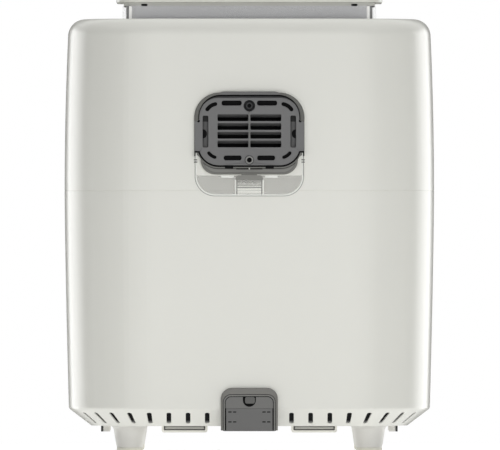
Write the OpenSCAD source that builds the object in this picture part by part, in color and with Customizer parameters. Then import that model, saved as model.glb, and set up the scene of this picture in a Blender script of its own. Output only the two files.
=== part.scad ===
// Basket air fryer with a steam tank: a two-part housing on tapered legs, a pull-out
// drawer with a pot, a top fan and heater, a rear exhaust vent with a drip cup, and a
// lift-out water tank. Millimetres. +Z is up, the drawer pulls out along -Y, and the
// origin is the bottom centre of the whole appliance's box.

/* [Body] */
// Width of the body at its widest height
body_w = 304; // [290:1:330]
// Depth of the body from back wall to drawer front
body_d = 330; // [320:1:350]
// Height of the body's top above the chamber's roof
body_h = 96; // [88:1:112]
// Radius of the vertical corners, seen from above
corner_r = 78; // [72:1:82]
// Height of the widest section above the base
belly_h = 192; // [160:1:220]
// How far each wall leans in by the top
top_taper = 3.5; // [0:0.5:5]
// How far each wall leans in by the bottom
bottom_taper = 3.9; // [0:0.1:5]
// Radius that rounds the top edge
top_edge_r = 14; // [8:1:18]
// How far the bottom chamfer runs in
chamfer_w = 18.5; // [14:0.5:20]
// How high the bottom chamfer is
chamfer_h = 14; // [12:0.5:16]
// Height of the joint between the shells above the pot's mouth
seam_h = 20.2; // [15:0.1:26]
// Wall thickness of the plastic shells
shell_wall = 2.5; // [2:0.1:3]
// Running gap between pieces that face each other
part_gap = 0.3; // [0.2:0.05:0.5]

/* [Intake slots] */
// Slots on each side of the back
slot_count = 8; // [4:1:8]
// Distance along the chamfer from the centre to the first slot
slot_first = 34.9; // [32:0.5:40]
// Distance along the chamfer from one slot to the next
slot_pitch = 15.7; // [12:0.5:16]
// Width of a slot
slot_w = 3.8; // [2.5:0.1:5]
// Length of a slot up the chamfer
slot_l = 13.4; // [10:0.2:14]

/* [Base and legs] */
// Thickness of the base plate
base_t = 2.5; // [2:0.1:3.5]
// Height of a leg without its pad
leg_h = 18; // [14:1:30]
// Height of the silicone pad under a leg
pad_h = 4.5; // [3:0.5:6]
// Distance from the body's side in to a leg's centre
leg_x = 54.5; // [54:0.5:67]
// Distance from the body's back or front in to a leg's centre
leg_y = 60; // [57:1:80]
// Diameter of a leg under its flare
leg_top_d = 25; // [20:0.5:30]
// Diameter of a leg at its foot
leg_foot_d = 21.7; // [16:0.5:24]
// Radius of the flare where a leg meets the base
leg_flare = 3.5; // [1:0.5:5]
// Height of the screw bosses under the base
boss_h = 5.6; // [4:0.2:8]
// Diameter of a screw boss
boss_d = 7; // [6:0.5:9]
// Distance from the body's side in to a screw boss
boss_x = 33.5; // [33:0.5:42]
// Screw boss position in front of and behind the centre
boss_y = 42; // [20:1:60]
// Width of a cord cleat
cleat_w = 37.6; // [30:0.2:44]
// Depth of a cord cleat, front to back
cleat_d = 24; // [14:1:40]
// Height of a cord cleat under the base
cleat_h = 5.6; // [4:0.2:8]
// Rim thickness of a cord cleat
cleat_rim = 1.2; // [0.8:0.1:1.4]
// Gap between a rear leg's centre and a cord cleat's side
cleat_gap = 25.5; // [20.5:0.5:28.5]
// Distance from the body's back in to a cord cleat's centre
cleat_y = 53; // [51:1:75]

/* [Exhaust vent] */
// Width of the vent frame
vent_w = 90.2; // [80:0.2:96]
// Height of the vent's centre above the joint between the shells
vent_h = 48; // [46.5:0.5:52.5]
// Height of the grille plate
grille_h = 55; // [53:0.5:58]
// Corner radius of the vent frame
vent_r = 18.5; // [12:0.5:22]
// How far the hood reaches above the grille plate
hood_rise = 4; // [3:0.2:6]
// Thickness of the hood
hood_t = 3; // [2:0.1:4]
// How far the hood stands out from the grille plate
hood_out = 7; // [4:0.5:10]
// How far the drip lip reaches below the grille plate
lip_drop = 7.3; // [5:0.1:9]
// Width of the drip lip
lip_w = 79.2; // [70:0.2:80]
// Rows of louvres
louvre_rows = 4; // [2:1:4]
// Height from one louvre row to the next
louvre_pitch = 7.1; // [6:0.1:7.5]
// Height of a louvre opening
louvre_gap = 5.2; // [3:0.1:5.5]
// Width of one louvre opening
louvre_w = 25.3; // [18:0.1:26]
// Width of the rib between the louvre columns
louvre_rib = 1.5; // [1:0.1:3]

/* [Drip cup] */
// Width of the drip cup
cup_w = 89.4; // [82:0.2:90]
// Height of the drip cup with its arms
cup_h = 36.6; // [32:0.2:40]
// How far the drip cup stands out from the back wall
cup_out = 17; // [12:0.5:22]
// Wall thickness of the drip cup
cup_wall = 2.2; // [1.5:0.1:3]
// Corner radius of the drip cup
cup_r = 16.4; // [10:0.2:18]
// Height of the drip cup's arms above its front wall
cup_arm = 18.5; // [14:0.5:20]
// How far the drip cup pulls out
cup_travel = 35; // [20:1:60]

/* [Cord outlet] */
// Width of the cord outlet housing
outlet_w = 46.7; // [40:0.1:52]
// Height of the cord outlet housing
outlet_h = 35.4; // [30:0.2:40]
// How far the housing hangs below the base
outlet_drop = 3.9; // [2:0.1:4]
// How far the housing stands out behind the lower wall
outlet_out = 6; // [4:0.5:9]
// Rim width around the outlet cover
outlet_rim = 3.2; // [2:0.1:5]
// Radius of the notch that the cord leaves by
notch_r = 5.3; // [3.5:0.1:6]

/* [Water tank] */
// Width of the water tank
tank_w = 208.4; // [190:0.2:216]
// Depth of the water tank
tank_d = 120; // [100:1:124]
// Tank centre behind the body's centre
tank_y = 58; // [54:1:62]
// Wall thickness of the water tank
tank_wall = 3; // [2:0.1:4]
// Corner radius of the water tank
tank_r = 12; // [8:0.5:18]
// How far the tank's rim stands above the body
tank_show = 10.6; // [8:0.2:16]
// Depth of the well that holds the tank
well_depth = 36; // [30:0.5:38]
// Gap between the tank and its well
well_gap = 1.6; // [1:0.1:2.5]
// How far the lid overhangs the tank
lid_over = 5; // [3:0.2:8]
// Thickness of the lid
lid_t = 12; // [8:0.5:18]
// Thickness of the lid's gasket
gasket_t = 2.7; // [2:0.1:4]
// Depth of the lid's plug below the gasket
plug_h = 14; // [12:0.5:20]
// How far the tank lifts out
tank_travel = 70; // [60:1:90]
// How far the lid lifts off the tank
lid_travel = 40; // [20:1:60]

/* [Drawer] */
// Height of the drawer front's lower edge above the base
drawer_low = 17; // [16.5:0.5:18]
// Gap around the drawer front
drawer_gap = 0.6; // [0.4:0.1:1]
// Space between the chamber's side wall and the pot
pot_gap = 7; // [6:0.5:20]
// Height of the pot
pot_h = 150; // [145:1:156]
// Corner radius of the pot
pot_r = 35; // [20:1:45]
// Wall thickness of the pot
pot_wall = 1.5; // [1:0.1:2]
// How far the drawer pulls out
drawer_travel = 225; // [150:1:230]
// How far the crisper plate lifts inside the pot
crisper_travel = 100; // [40:1:105]
// Height of the crisper plate above the pot's floor
crisper_h = 14; // [8:0.5:18]
// Thickness of the crisper plate
crisper_t = 2; // [1.5:0.1:3]
// Width of the window's bezel
window_w = 146; // [120:1:148]
// Height of the window's bezel
window_h = 100; // [80:1:100]
// Height of the window's centre above the base
window_z = 90; // [85:1:92]
// Width of the handle
handle_w = 144; // [110:1:146]
// How far the handle stands out from the drawer front
handle_out = 42; // [35:1:50]
// Height of the handle's bar
handle_h = 20; // [16:1:22]
// Thickness of the handle's bar
handle_t = 14; // [10:0.5:16]
// Distance from the drawer's top down to the handle's centre
handle_z = 25.2; // [23.2:0.2:28.2]

/* [Controls] */
// Width of the control fascia
fascia_w = 144; // [120:1:146]
// Height of the control fascia
fascia_h = 86; // [80:1:90]
// Height of the fascia's centre above the joint between the shells
fascia_z = 70.5; // [66.5:0.5:74.5]
// Width of the display's window
display_w = 76; // [60:1:90]
// Height of the display's window
display_h = 22; // [16:1:24]
// Diameter of the selector knob
knob_d = 46; // [36:1:50]
// How far the knob stands out from the fascia
knob_out = 17; // [12:0.5:22]
// Diameter of a push button
button_d = 17; // [12:0.5:20]
// Button position left and right of the centre
button_x = 49; // [45:0.5:52]
// How far a button travels
button_travel = 1.2; // [0.6:0.1:1.5]

/* [Cooking chamber] */
// Space between the body's side and the chamber's wall
liner_gap = 20; // [19:0.5:23]
// Sheet thickness of the liner
liner_t = 1; // [0.6:0.1:1.5]
// Height of the chamber's roof above the pot's mouth
liner_h = 64.7; // [63:0.1:65.5]
// Corner radius of the liner
liner_r = 50; // [45:1:55]
// Radius of the heater's outer turn
heater_r = 86; // [70:1:90]
// Diameter of the heater's tube
heater_d = 7; // [6:0.5:8]
// Diameter of the convection fan
fan_d = 150; // [120:1:156]
// Height of the convection fan's blades
fan_h = 13; // [8:0.5:14]
// Diameter of the motor shaft
shaft_d = 6; // [5:0.5:8]
// Width of the motor's bracket
bracket_w = 112; // [100:1:120]
// Diameter of the motor
motor_d = 62; // [50:1:70]
// Height of the motor
motor_h = 28; // [20:0.5:29]

/* [Hidden] */
$fn = 72;

// Plan of the body: every section is this half-size rectangle grown by body_r(h).
flat_x = body_w / 2 - corner_r;
flat_y = body_d / 2 - corner_r;
small_fn = 36;
liner_w = body_w - 2 * liner_gap;
pot_w = liner_w - 2 * pot_gap;

// Heights above the base, each built on the one below it.
liner_low = chamfer_h;
rail_h = 4;
pot_low = liner_low + liner_t + rail_h + part_gap;
open_low = liner_low + liner_t;
open_high = pot_low + pot_h + 4;
seam_z = open_high + seam_h;
liner_top = open_high + liner_h;
body_top = liner_top + body_h;
vent_z = seam_z + vent_h;
fascia_cz = seam_z + fascia_z;
handle_cz = seam_z - drawer_gap / 2 - handle_z;

// Radius of the body's section at height h above the base.
function body_r(h) = corner_r - (h > belly_h
    ? top_taper * pow((h - belly_h) / (body_top - belly_h), 2)
    : bottom_taper * pow((belly_h - h) / belly_h, 1.4));
// The wall's line from height h0 to h1, moved in by inset, as [radius, height] points.
function wall_line(h0, h1, inset, steps = 8) =
    [for (i = [0 : steps]) let (h = h0 + (h1 - h0) * i / steps) [body_r(h) - inset, h]];
function reversed(points) = [for (i = [len(points) - 1 : -1 : 0]) points[i]];
function arc_line(x, y, r, a0, a1, steps = 8) =
    [for (i = [0 : steps]) let (t = a0 + (a1 - a0) * i / steps) [x + r * cos(t), y + r * sin(t)]];

// Heights and depths that several pieces share.
lift = leg_h + pad_h;
back_y = body_d / 2;
front_y = -body_d / 2;
split_y = -flat_y;
foot_r = body_r(chamfer_h) - chamfer_w;
chamfer_wall = shell_wall * norm([chamfer_w, chamfer_h]) / chamfer_h;
plate_r = foot_r - chamfer_wall - part_gap;
lip_h = 5;
lip_t = 1.5;
front_reach = handle_out;
cap_out = 1.6;
rear_reach = cup_out + part_gap + cap_out;
centre_y = (front_reach - rear_reach) / 2;
leg_cx = body_w / 2 - leg_x;
leg_cy = body_d / 2 - leg_y;
boss_cx = body_w / 2 - boss_x;
cleat_cx = leg_cx - cleat_gap - cleat_w / 2;
cleat_cy = body_d / 2 - cleat_y;

// Liner and what stands in and on it.
frame_t = 2.5;
liner_front = split_y + frame_t;
liner_back = back_y - 36;
pot_front = split_y - drawer_gap;
pot_back = liner_back - liner_t - 6;
fan_y = (liner_front + liner_back) / 2;
mat_t = 3;
shield_top = liner_top + mat_t;
fan_drop = 24;
fan_low = liner_top - fan_drop;
heater_z = fan_low - 10;
lead_x = 14;
lead_d = heater_d + 2;
gap_turn = asin(lead_x / heater_r);
lead_y = fan_y - heater_r * cos(gap_turn);
steam_x = liner_w / 2 - 40;
steam_y = fan_y + 20;
motor_low = shield_top + 22;
bracket_t = 1.5;
motor_top = motor_low + bracket_t + motor_h;

// Vent.
vent_face = back_y + 1.5;
vent_deep = 8;
grille_low = vent_z - grille_h / 2;
grille_top = vent_z + grille_h / 2;
grille_face = vent_face + 1.5;
lip_low = grille_low - lip_drop;
// Drip cup.
cup_low = lip_low - 18.4;
cup_back = back_y + part_gap;
cup_face = cup_back + cup_out;
// Cord outlet.
outlet_top = outlet_h - outlet_drop;
outlet_back = back_y - bottom_taper + outlet_out;
outlet_deep = 26;
// Tank.
tank_low = body_top - well_depth + part_gap;
tank_top = body_top + tank_show;
spout_x = -70;
spout_y = tank_y + 30;
spout_r = 8.5;
spout_h = 9;
// Drawer.
drawer_top = seam_z - drawer_gap / 2;
window_frame = 12;
sleeve_w = window_w - 2 * window_frame + 4;
sleeve_h = window_h - 2 * window_frame + 4;
bezel_front = front_y - 2;
bezel_deep = 8;
crisper_z = pot_low + pot_wall + crisper_h;
// Controls.
fascia_front = front_y - 1;
fascia_t = 6;
knob_z = fascia_cz - 16;
display_z = fascia_cz + 25;
display_r = 4;
board_y = fascia_front + fascia_t + 8;
board_w = fascia_w - 16;
board_h = fascia_h - 14;

// ---------- shared shapes ----------

// A rectangle with rounded corners, centred.
module rounded_rect(w, h, r) {
    square([w - 2 * r, h], center = true);
    square([w, h - 2 * r], center = true);
    for (x = [-1, 1], y = [-1, 1])
        translate([x * (w / 2 - r), y * (h / 2 - r)]) circle(r);
}

// A plate of the body's plan grown to radius r, from height h0 to h1.
module plan_plate(r, h0, h1) {
    translate([0, 0, h0]) linear_extrude(h1 - h0) rounded_rect(2 * (flat_x + r), 2 * (flat_y + r), r);
}

// A block of 2D outline drawn in X and Z, from depth y0 to y1.
module slab(y0, y1) {
    translate([0, y1, 0]) rotate([90, 0, 0]) linear_extrude(y1 - y0) children();
}

// Corners of a wall: the profile turned round each corner of a hx by hy rectangle.
module corner_sweep(hx, hy, profile, ends = [0, 1]) {
    for (sx = [0, 1], sy = ends)
        mirror([sx, 0, 0]) mirror([0, sy, 0]) translate([hx, hy, 0])
            rotate_extrude(angle = 90) polygon(profile);
}

// Flats of a wall: the profile drawn along the sides and the ends of that rectangle.
module side_sweep(hx, hy, profile) {
    for (sx = [0, 1])
        mirror([sx, 0, 0]) translate([hx, hy, 0]) rotate([90, 0, 0]) linear_extrude(2 * hy) polygon(profile);
}
module end_sweep(hx, hy, profile, ends = [0, 1]) {
    for (sy = ends)
        mirror([0, sy, 0]) translate([-hx, hy, 0]) rotate([90, 0, 90])
            linear_extrude(2 * hx) polygon(profile);
}

// A closed wall round a hx by hy rectangle.
module wall_ring(hx, hy, profile) {
    corner_sweep(hx, hy, profile);
    side_sweep(hx, hy, profile);
    end_sweep(hx, hy, profile);
}

// A solid with that profile, whose first and last points lie on the rectangle's edge.
module pillow(hx, hy, profile) {
    wall_ring(hx, hy, profile);
    low = profile[0][1];
    high = profile[len(profile) - 1][1];
    translate([-hx, -hy, low]) cube([2 * hx, 2 * hy, high - low]);
}

// Everything stands on its legs, with the whole appliance's box centred on the origin.
module placed() {
    translate([0, centre_y, lift]) children();
}

// ---------- housing ----------

upper_low = seam_z + part_gap / 2;
edge_h = body_top - top_edge_r;
edge_r = body_r(edge_h) - top_edge_r;
upper_profile = concat(
    [[0, body_top - shell_wall]],
    reversed(arc_line(edge_r, edge_h, top_edge_r - shell_wall, 6, 90)),
    reversed(wall_line(upper_low, edge_h, shell_wall)),
    wall_line(upper_low, edge_h, 0),
    arc_line(edge_r, edge_h, top_edge_r, 6, 90),
    [[0, body_top]]
);

module upper_shell() {
    color("#dcdcd4") difference() {
        union() {
            wall_ring(flat_x, flat_y, upper_profile);
            translate([-flat_x, -flat_y, body_top - shell_wall]) cube([2 * flat_x, 2 * flat_y, shell_wall]);
        }
        translate([0, tank_y, body_top - 2 * shell_wall]) linear_extrude(3 * shell_wall)
            rounded_rect(tank_w + 2 * well_gap, tank_d + 2 * well_gap, tank_r + well_gap);
        slab(back_y - 3 * shell_wall, back_y + shell_wall) vent_outline(part_gap);
        slab(front_y - shell_wall, front_y + 4 * shell_wall) translate([0, fascia_cz])
            rounded_rect(fascia_w + 2 * part_gap, fascia_h + 2 * part_gap, 20 + part_gap);
    }
}

lower_high = seam_z - part_gap / 2;
lower_profile = concat(
    [[foot_r - chamfer_wall, 0], [foot_r, 0]],
    wall_line(chamfer_h, lower_high, 0),
    [[body_r(seam_z) - shell_wall - part_gap, lower_high],
     [body_r(seam_z) - shell_wall - part_gap, seam_z + lip_h],
     [body_r(seam_z) - shell_wall - part_gap - lip_t, seam_z + lip_h],
     [body_r(seam_z) - shell_wall - part_gap - lip_t, seam_z - 2 * lip_h]],
    reversed(wall_line(chamfer_h, seam_z - 2 * lip_h - lip_t, shell_wall))
);

// One intake slot's cutter, at a distance s along the chamfer from the centre of the back.
module intake_slot(s) {
    slope = atan(chamfer_w / chamfer_h);
    mid_r = body_r(chamfer_h) - chamfer_w / 2;
    turn = max(0, s - flat_x) / mid_r * 180 / PI;
    translate([min(s, flat_x), flat_y, chamfer_h / 2]) rotate([0, 0, -turn])
        translate([0, mid_r, 0]) rotate([90 - slope, 0, 0])
            translate([0, 0.4, 0]) rotate([-90, 0, 0]) translate([0, 0, -7])
                linear_extrude(14) rounded_rect(slot_w, slot_l, 1);
}

module lower_shell() {
    color("#dcdcd4") difference() {
        union() {
            wall_ring(flat_x, flat_y, lower_profile);
            for (sx = [0, 1], y = [-boss_y, boss_y]) mirror([sx, 0, 0])
                translate([boss_cx - 6, y - 6, base_t]) cube([flat_x + foot_r + 1.5 - boss_cx + 6, 12, 6.5]);
        }
        for (x = [-boss_cx, boss_cx], y = [-boss_y, boss_y])
            translate([x, y, base_t - 1]) cylinder(d = 2.4, h = 10, $fn = small_fn);
        translate([-body_w, -body_d, drawer_low - drawer_gap])
            cube([2 * body_w, body_d + split_y, body_top]);
        for (side = [0, 1], i = [0 : slot_count - 1])
            mirror([side, 0, 0]) intake_slot(slot_first + i * slot_pitch);
        slab(back_y - outlet_deep - 2, back_y + outlet_out) outlet_outline(part_gap);
    }
}

module base_plate() {
    color("#d4d4cb") difference() {
        union() {
            plan_plate(plate_r, 0, base_t);
            for (x = [-boss_cx, boss_cx], y = [-boss_y, boss_y])
                translate([x, y, -boss_h]) cylinder(d = boss_d, h = boss_h + base_t);
        }
        for (x = [-boss_cx, boss_cx], y = [-boss_y, boss_y])
            translate([x, y, -boss_h - 1]) {
                cylinder(d = 4.6, h = 4);
                cylinder(d = 2.6, h = boss_h + base_t + 2);
            }
        for (x = [-leg_cx, leg_cx], y = [-leg_cy, leg_cy])
            translate([x, y, -1]) cylinder(d = 8 + 2 * part_gap, h = base_t + 2);
        slab(back_y - outlet_deep - 2, back_y + outlet_out) outlet_outline(part_gap);
    }
}

module base_screws() {
    color("#8c8c8c") for (x = [-boss_cx, boss_cx], y = [-boss_y, boss_y]) translate([x, y, 3 - boss_h]) {
        translate([0, 0, -1.6]) cylinder(d = 4.2, h = 1.6, $fn = small_fn);
        cylinder(d = 2.4, h = 10, $fn = small_fn);
    }
}

// The plate that the drawer front closes against; the liner is fixed to its back.
module front_frame() {
    inner = wall_line(drawer_low + part_gap, seam_z - 2 * lip_h - lip_t - part_gap, shell_wall + part_gap);
    half = [for (p = inner) [flat_x + p[0], p[1]]];
    color("#9b9b98") difference() {
        slab(split_y, split_y + frame_t)
            polygon(concat(half, reversed([for (p = half) [-p[0], p[1]]])));
        slab(split_y - 1, split_y + frame_t + 1) mouth_outline();
    }
}

// The mouth that the pot passes through.
module mouth_outline() {
    translate([0, (open_low + open_high) / 2]) rounded_rect(liner_w - 2 * liner_t, open_high - open_low, 6);
}

// The floor under the control compartment, above the drawer.
module front_shelf() {
    shelf_r = body_r(seam_z) - shell_wall - part_gap;
    color("#c9c9c2") difference() {
        plan_plate(shelf_r, seam_z + 1, seam_z + 3.5);
        translate([-body_w, split_y, 0]) cube([2 * body_w, body_d, body_top]);
    }
}

leg_profile = concat(
    [[0, 0], [leg_foot_d / 2, 0]],
    [[leg_top_d / 2, leg_h - leg_flare]],
    [for (i = [1 : 5]) let (t = i * 18)
        [leg_top_d / 2 + leg_flare * (1 - cos(t)), leg_h - leg_flare + leg_flare * sin(t)]],
    [[0, leg_h]]
);

module leg(x, y) {
    color("#d4d4cb") translate([x, y, -leg_h]) {
        rotate_extrude() polygon(leg_profile);
        cylinder(d = 8, h = leg_h + base_t);
    }
}

module pad(x, y) {
    r = leg_foot_d / 2;
    color("#e6e6e0") translate([x, y, -leg_h - pad_h]) rotate_extrude()
        polygon([[0, 0], [r - 1.2, 0], [r, 1.2], [r, pad_h], [0, pad_h]]);
}

// A hooded cleat under the base that the folded mains lead is tucked into.
module cord_cleat(x) {
    color("#d4d4cb") translate([x, cleat_cy, -cleat_h]) difference() {
        translate([-cleat_w / 2, -cleat_d, 0]) cube([cleat_w, cleat_d, cleat_h]);
        translate([-cleat_w / 2 + cleat_rim, -cleat_d + cleat_rim, cleat_rim])
            cube([cleat_w - 2 * cleat_rim, cleat_d, cleat_h]);
    }
}

// ---------- exhaust vent and drip cup ----------

// Outline of the vent frame, grown by clearance.
module vent_outline(clearance = 0) {
    top = grille_top + hood_rise;
    low = grille_low - 1;
    translate([0, (top + low) / 2])
        rounded_rect(vent_w + 2 * clearance, top - low + 2 * clearance, vent_r + clearance);
    translate([0, lip_low + 15]) rounded_rect(lip_w + 2 * clearance, 30 + 2 * clearance, 14.9);
}

screw_top_h = grille_top - 6.5;
screw_low_h = grille_low + 4.6;
bay_w = 2 * louvre_w + louvre_rib;
bay_h = (louvre_rows - 1) * louvre_pitch + louvre_gap;

module vent_frame() {
    hood_low = vent_z + 8.2;
    color("#6a6a6a") {
        difference() {
            slab(vent_face - vent_deep, vent_face) vent_outline();
            slab(vent_face - vent_deep - 1, vent_face + 1) translate([0, vent_z])
                rounded_rect(vent_w - 12, grille_h - 19, 12);
            slab(vent_face - vent_deep - 1, vent_face + 1) for (h = [screw_top_h, screw_low_h])
                translate([0, h]) circle(d = 3, $fn = small_fn);
        }
        difference() {
            slab(vent_face, grille_face + hood_out) vent_outline();
            slab(vent_face - 1, grille_face + hood_out + 1)
                translate([0, (grille_top + hood_rise + grille_low) / 2 - hood_t / 2])
                    rounded_rect(vent_w - 2 * hood_t, grille_h + hood_rise - hood_t, vent_r - hood_t);
            translate([-vent_w, vent_face - 1, 0]) cube([2 * vent_w, 3 * hood_out, hood_low]);
            translate([0, grille_face + hood_out, hood_low]) rotate([38, 0, 0])
                translate([-vent_w, 0, -30]) cube([2 * vent_w, 30, 60]);
        }
        slab(vent_face, vent_face + 9) translate([0, grille_top + hood_rise - 0.6])
            polygon([[-27, 0], [-21, 1.9], [21, 1.9], [27, 0]]);
    }
}

// Slots round the louvre bay: [x, height above the vent's centre, turn, length, width].
rim_slots = [
    [14.2, 22.9, 0, 16.4, 4], [31, 21.4, -38, 9.8, 3.2], [35.6, 2.3, 90, 26.4, 4.4],
    [31.2, -18.6, 32, 8, 3], [13.6, -21.4, 0, 14.6, 3.8]
];

module vent_grille() {
    louvre_low = vent_z - bay_h / 2 + louvre_gap / 2;
    color("#717171") difference() {
        slab(vent_face, grille_face) difference() {
            translate([0, vent_z]) rounded_rect(vent_w - 2 * hood_t - 1, grille_h - 1, vent_r - hood_t - 0.5);
            for (side = [-1, 1], s = rim_slots)
                translate([side * s[0], vent_z + s[1]]) rotate(side * s[2])
                    rounded_rect(s[3], s[4], min(s[3], s[4]) / 2 - 0.01);
        }
        for (side = [-1, 1], i = [0 : louvre_rows - 1])
            translate([side * (louvre_rib + louvre_w) / 2, grille_face, louvre_low + i * louvre_pitch])
                rotate([-20, 0, 0]) cube([louvre_w, 12, louvre_gap], center = true);
        for (h = [screw_top_h, screw_low_h])
            translate([0, grille_face + 1, h]) rotate([90, 0, 0]) cylinder(d = 8.6, h = 1.8);
        for (h = [screw_top_h, screw_low_h])
            translate([0, grille_face + 1, h]) rotate([90, 0, 0]) cylinder(d = 3.4, h = 12);
    }
}

module vent_screws() {
    color("#2b2b2b") for (h = [screw_top_h, screw_low_h])
        translate([0, grille_face, h]) rotate([90, 0, 0]) difference() {
        union() {
            translate([0, 0, -0.4]) cylinder(d = 7, h = 1.2);
            cylinder(d = 3, h = 9, $fn = small_fn);
        }
        translate([0, 0, -1]) cylinder(d = 3, h = 1.4, $fn = 6);
    }
}

duct_front = liner_back + part_gap;
duct_back = vent_face - vent_deep - part_gap;

module exhaust_duct() {
    w = vent_w - 6;
    low = grille_low + 2;
    high = grille_top - 2;
    color("#b9b9b6") difference() {
        translate([-w / 2, duct_front, low]) cube([w, duct_back - duct_front, high - low]);
        translate([-w / 2 + 1.2, duct_front + 1.2, low + 1.2])
            cube([w - 2.4, duct_back - duct_front, high - low - 2.4]);
        translate([-30, duct_front - 1, low + 2]) cube([60, 4, liner_top - low - 6]);
    }
}

// Outline of the drip cup's U, moved in by inset.
module cup_outline(inset) {
    translate([0, cup_low + cup_h / 2 + cup_r])
        rounded_rect(cup_w - 2 * inset, cup_h + 2 * cup_r - 2 * inset, cup_r - inset);
}

cup_wall_top = cup_low + cup_h - cup_arm;

module drip_cup() {
    color("#c9cbc8", 0.5) difference() {
        slab(cup_back, cup_face) cup_outline(0);
        slab(cup_back + cup_wall, cup_face - cup_wall) cup_outline(cup_wall);
        slab(cup_back - 1, cup_face + 1) translate([0, cup_wall_top + 25])
            square([cup_w - 2 * cup_wall, 50], center = true);
        translate([-cup_w, cup_back - 1, cup_low + cup_h]) cube([2 * cup_w, 2 * cup_out, 60]);
        translate([-cup_w, cup_back + 5, cup_wall_top + 6]) cube([2 * cup_w, 2 * cup_out, 60]);
        slab(cup_face - 1, cup_face + 1) translate([0, cup_low + 4]) rounded_rect(20.4, 18.8, 2);
        slab(cup_back - 1, vent_face + part_gap) vent_outline(part_gap);
    }
}

module cup_latch() {
    color("#8a8a87") slab(cup_face, cup_face + cap_out)
        translate([0, cup_wall_top - 2.8]) rounded_rect(22.3, 3.8, 1.8);
}

// ---------- cord outlet ----------

module outlet_outline(clearance = 0) {
    r = 9 + clearance;
    w = outlet_w / 2 + clearance;
    polygon(concat(
        [[w - 1, -outlet_drop - clearance], [w, -outlet_drop - clearance + 3]],
        arc_line(w - r, outlet_top + clearance - r, r, 0, 90),
        arc_line(-w + r, outlet_top + clearance - r, r, 90, 180),
        [[-w, -outlet_drop - clearance + 3], [-w + 1, -outlet_drop - clearance]]
    ));
}

cover_w = outlet_w - 2 * outlet_rim;
cover_top = outlet_top - 7.2;
notch_h = cover_top - 2.7;
chamber_w = cover_w - 4;
chamber_h = notch_h + 6;

// Outline of the outlet's cover plate, grown by clearance.
module cover_outline(clearance = 0) {
    w = cover_w / 2 + clearance;
    r = 6 + clearance;
    polygon(concat(
        [[w, 1 - outlet_drop - clearance]],
        arc_line(w - r, cover_top + clearance - r, r, 0, 90),
        arc_line(-w + r, cover_top + clearance - r, r, 90, 180),
        [[-w, 1 - outlet_drop - clearance]]
    ));
}

module outlet_housing() {
    color("#6a6a6a") difference() {
        slab(outlet_back - outlet_deep, outlet_back) outlet_outline();
        slab(outlet_back - 2.5, outlet_back + 1) cover_outline(0.35);
        slab(outlet_back - outlet_deep - 1, outlet_back - 2)
            translate([-chamber_w / 2, 0]) square([chamber_w, chamber_h]);
    }
}

module outlet_cover() {
    color("#707070") difference() {
        slab(outlet_back - 2.2, outlet_back - 0.4) difference() {
            cover_outline();
            translate([0, notch_h]) circle(notch_r);
            translate([-notch_r, notch_h]) square([2 * notch_r, 20]);
        }
        for (side = [-1, 1], x = [11.8, 15.9], h = [3.6, 11.8])
            translate([side * x, outlet_back, h]) cube([2.6, 2, 0.9], center = true);
    }
}

// The gland that the mains lead passes through, with its clamp tongue in the notch.
module cord_gland() {
    clamp_w = chamber_w;
    color("#4a4a4a") {
        difference() {
            union() {
                slab(outlet_back - 16, outlet_back - 8) translate([0, notch_h - 1]) circle(7);
                slab(outlet_back - 15, outlet_back - 11)
                    translate([0, notch_h - 1]) rounded_rect(clamp_w, 8, 1);
            }
            slab(outlet_back - 17, outlet_back - 7) translate([0, notch_h - 1]) circle(3.6);
        }
        slab(outlet_back - 8.5, outlet_back - 2.6)
            translate([0, notch_h + 3.1]) rounded_rect(7, 5, 2);
    }
}

// ---------- water tank ----------

module tank_rect(inset, r_inset = 0) {
    rounded_rect(tank_w - 2 * inset, tank_d - 2 * inset, tank_r - inset + r_inset);
}

module tank_well() {
    low = body_top - well_depth - 2;
    color("#b5b5b0") difference() {
        translate([0, tank_y, low]) linear_extrude(body_top - shell_wall - low) tank_rect(-well_gap - 2);
        translate([0, tank_y, low + 2]) linear_extrude(well_depth) tank_rect(-well_gap);
        translate([spout_x, spout_y, low - 1]) cylinder(r = spout_r + 0.6, h = 4);
    }
}

module water_tank() {
    color("#dfe4e6", 0.4) difference() {
        union() {
            translate([0, tank_y, tank_low]) linear_extrude(tank_top - tank_low) tank_rect(0);
            translate([spout_x, spout_y, tank_low - spout_h]) cylinder(r = spout_r, h = spout_h + 1);
        }
        translate([0, tank_y, tank_low + tank_wall]) linear_extrude(tank_top - tank_low) tank_rect(tank_wall);
        translate([spout_x, spout_y, tank_low - spout_h - 1])
            cylinder(r = spout_r - 5, h = spout_h + tank_wall + 2);
    }
}

plug_in = tank_wall + 0.55;
seat_gap = 0.2;

module tank_lid() {
    low = tank_top + gasket_t;
    r = tank_r + lid_over;
    edge = 3;
    color("#dcdcd4") translate([0, tank_y, 0]) pillow(tank_w / 2 - tank_r, tank_d / 2 - tank_r, concat(
        [[0, low], [r - 1, low], [r, low + 1]],
        arc_line(r - edge, low + lid_t - edge, edge, 0, 90, 5),
        [[0, low + lid_t]]
    ));
}

module lid_gasket() {
    color("#5c5c5a") difference() {
        translate([0, tank_y, tank_top + seat_gap]) linear_extrude(gasket_t - seat_gap) difference() {
            tank_rect(0.9);
            tank_rect(plug_in);
        }
        for (x = [-1, 1]) translate([x * 86.2, tank_y + tank_d / 2, tank_top + gasket_t / 2])
            cube([5.4, 5, 1.6], center = true);
    }
}

module lid_plug() {
    color("#8e8e8e") difference() {
        translate([0, tank_y, tank_top - plug_h]) linear_extrude(plug_h + gasket_t) tank_rect(plug_in);
        translate([0, tank_y, tank_top - plug_h - 1]) linear_extrude(plug_h + gasket_t - 1) tank_rect(plug_in + 2);
    }
}

// ---------- cooking chamber ----------

module liner_outline(inset) {
    d = liner_back - liner_front;
    translate([0, liner_back - d]) rounded_rect(liner_w - 2 * inset, 2 * d - 2 * inset, liner_r - inset);
}

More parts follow.
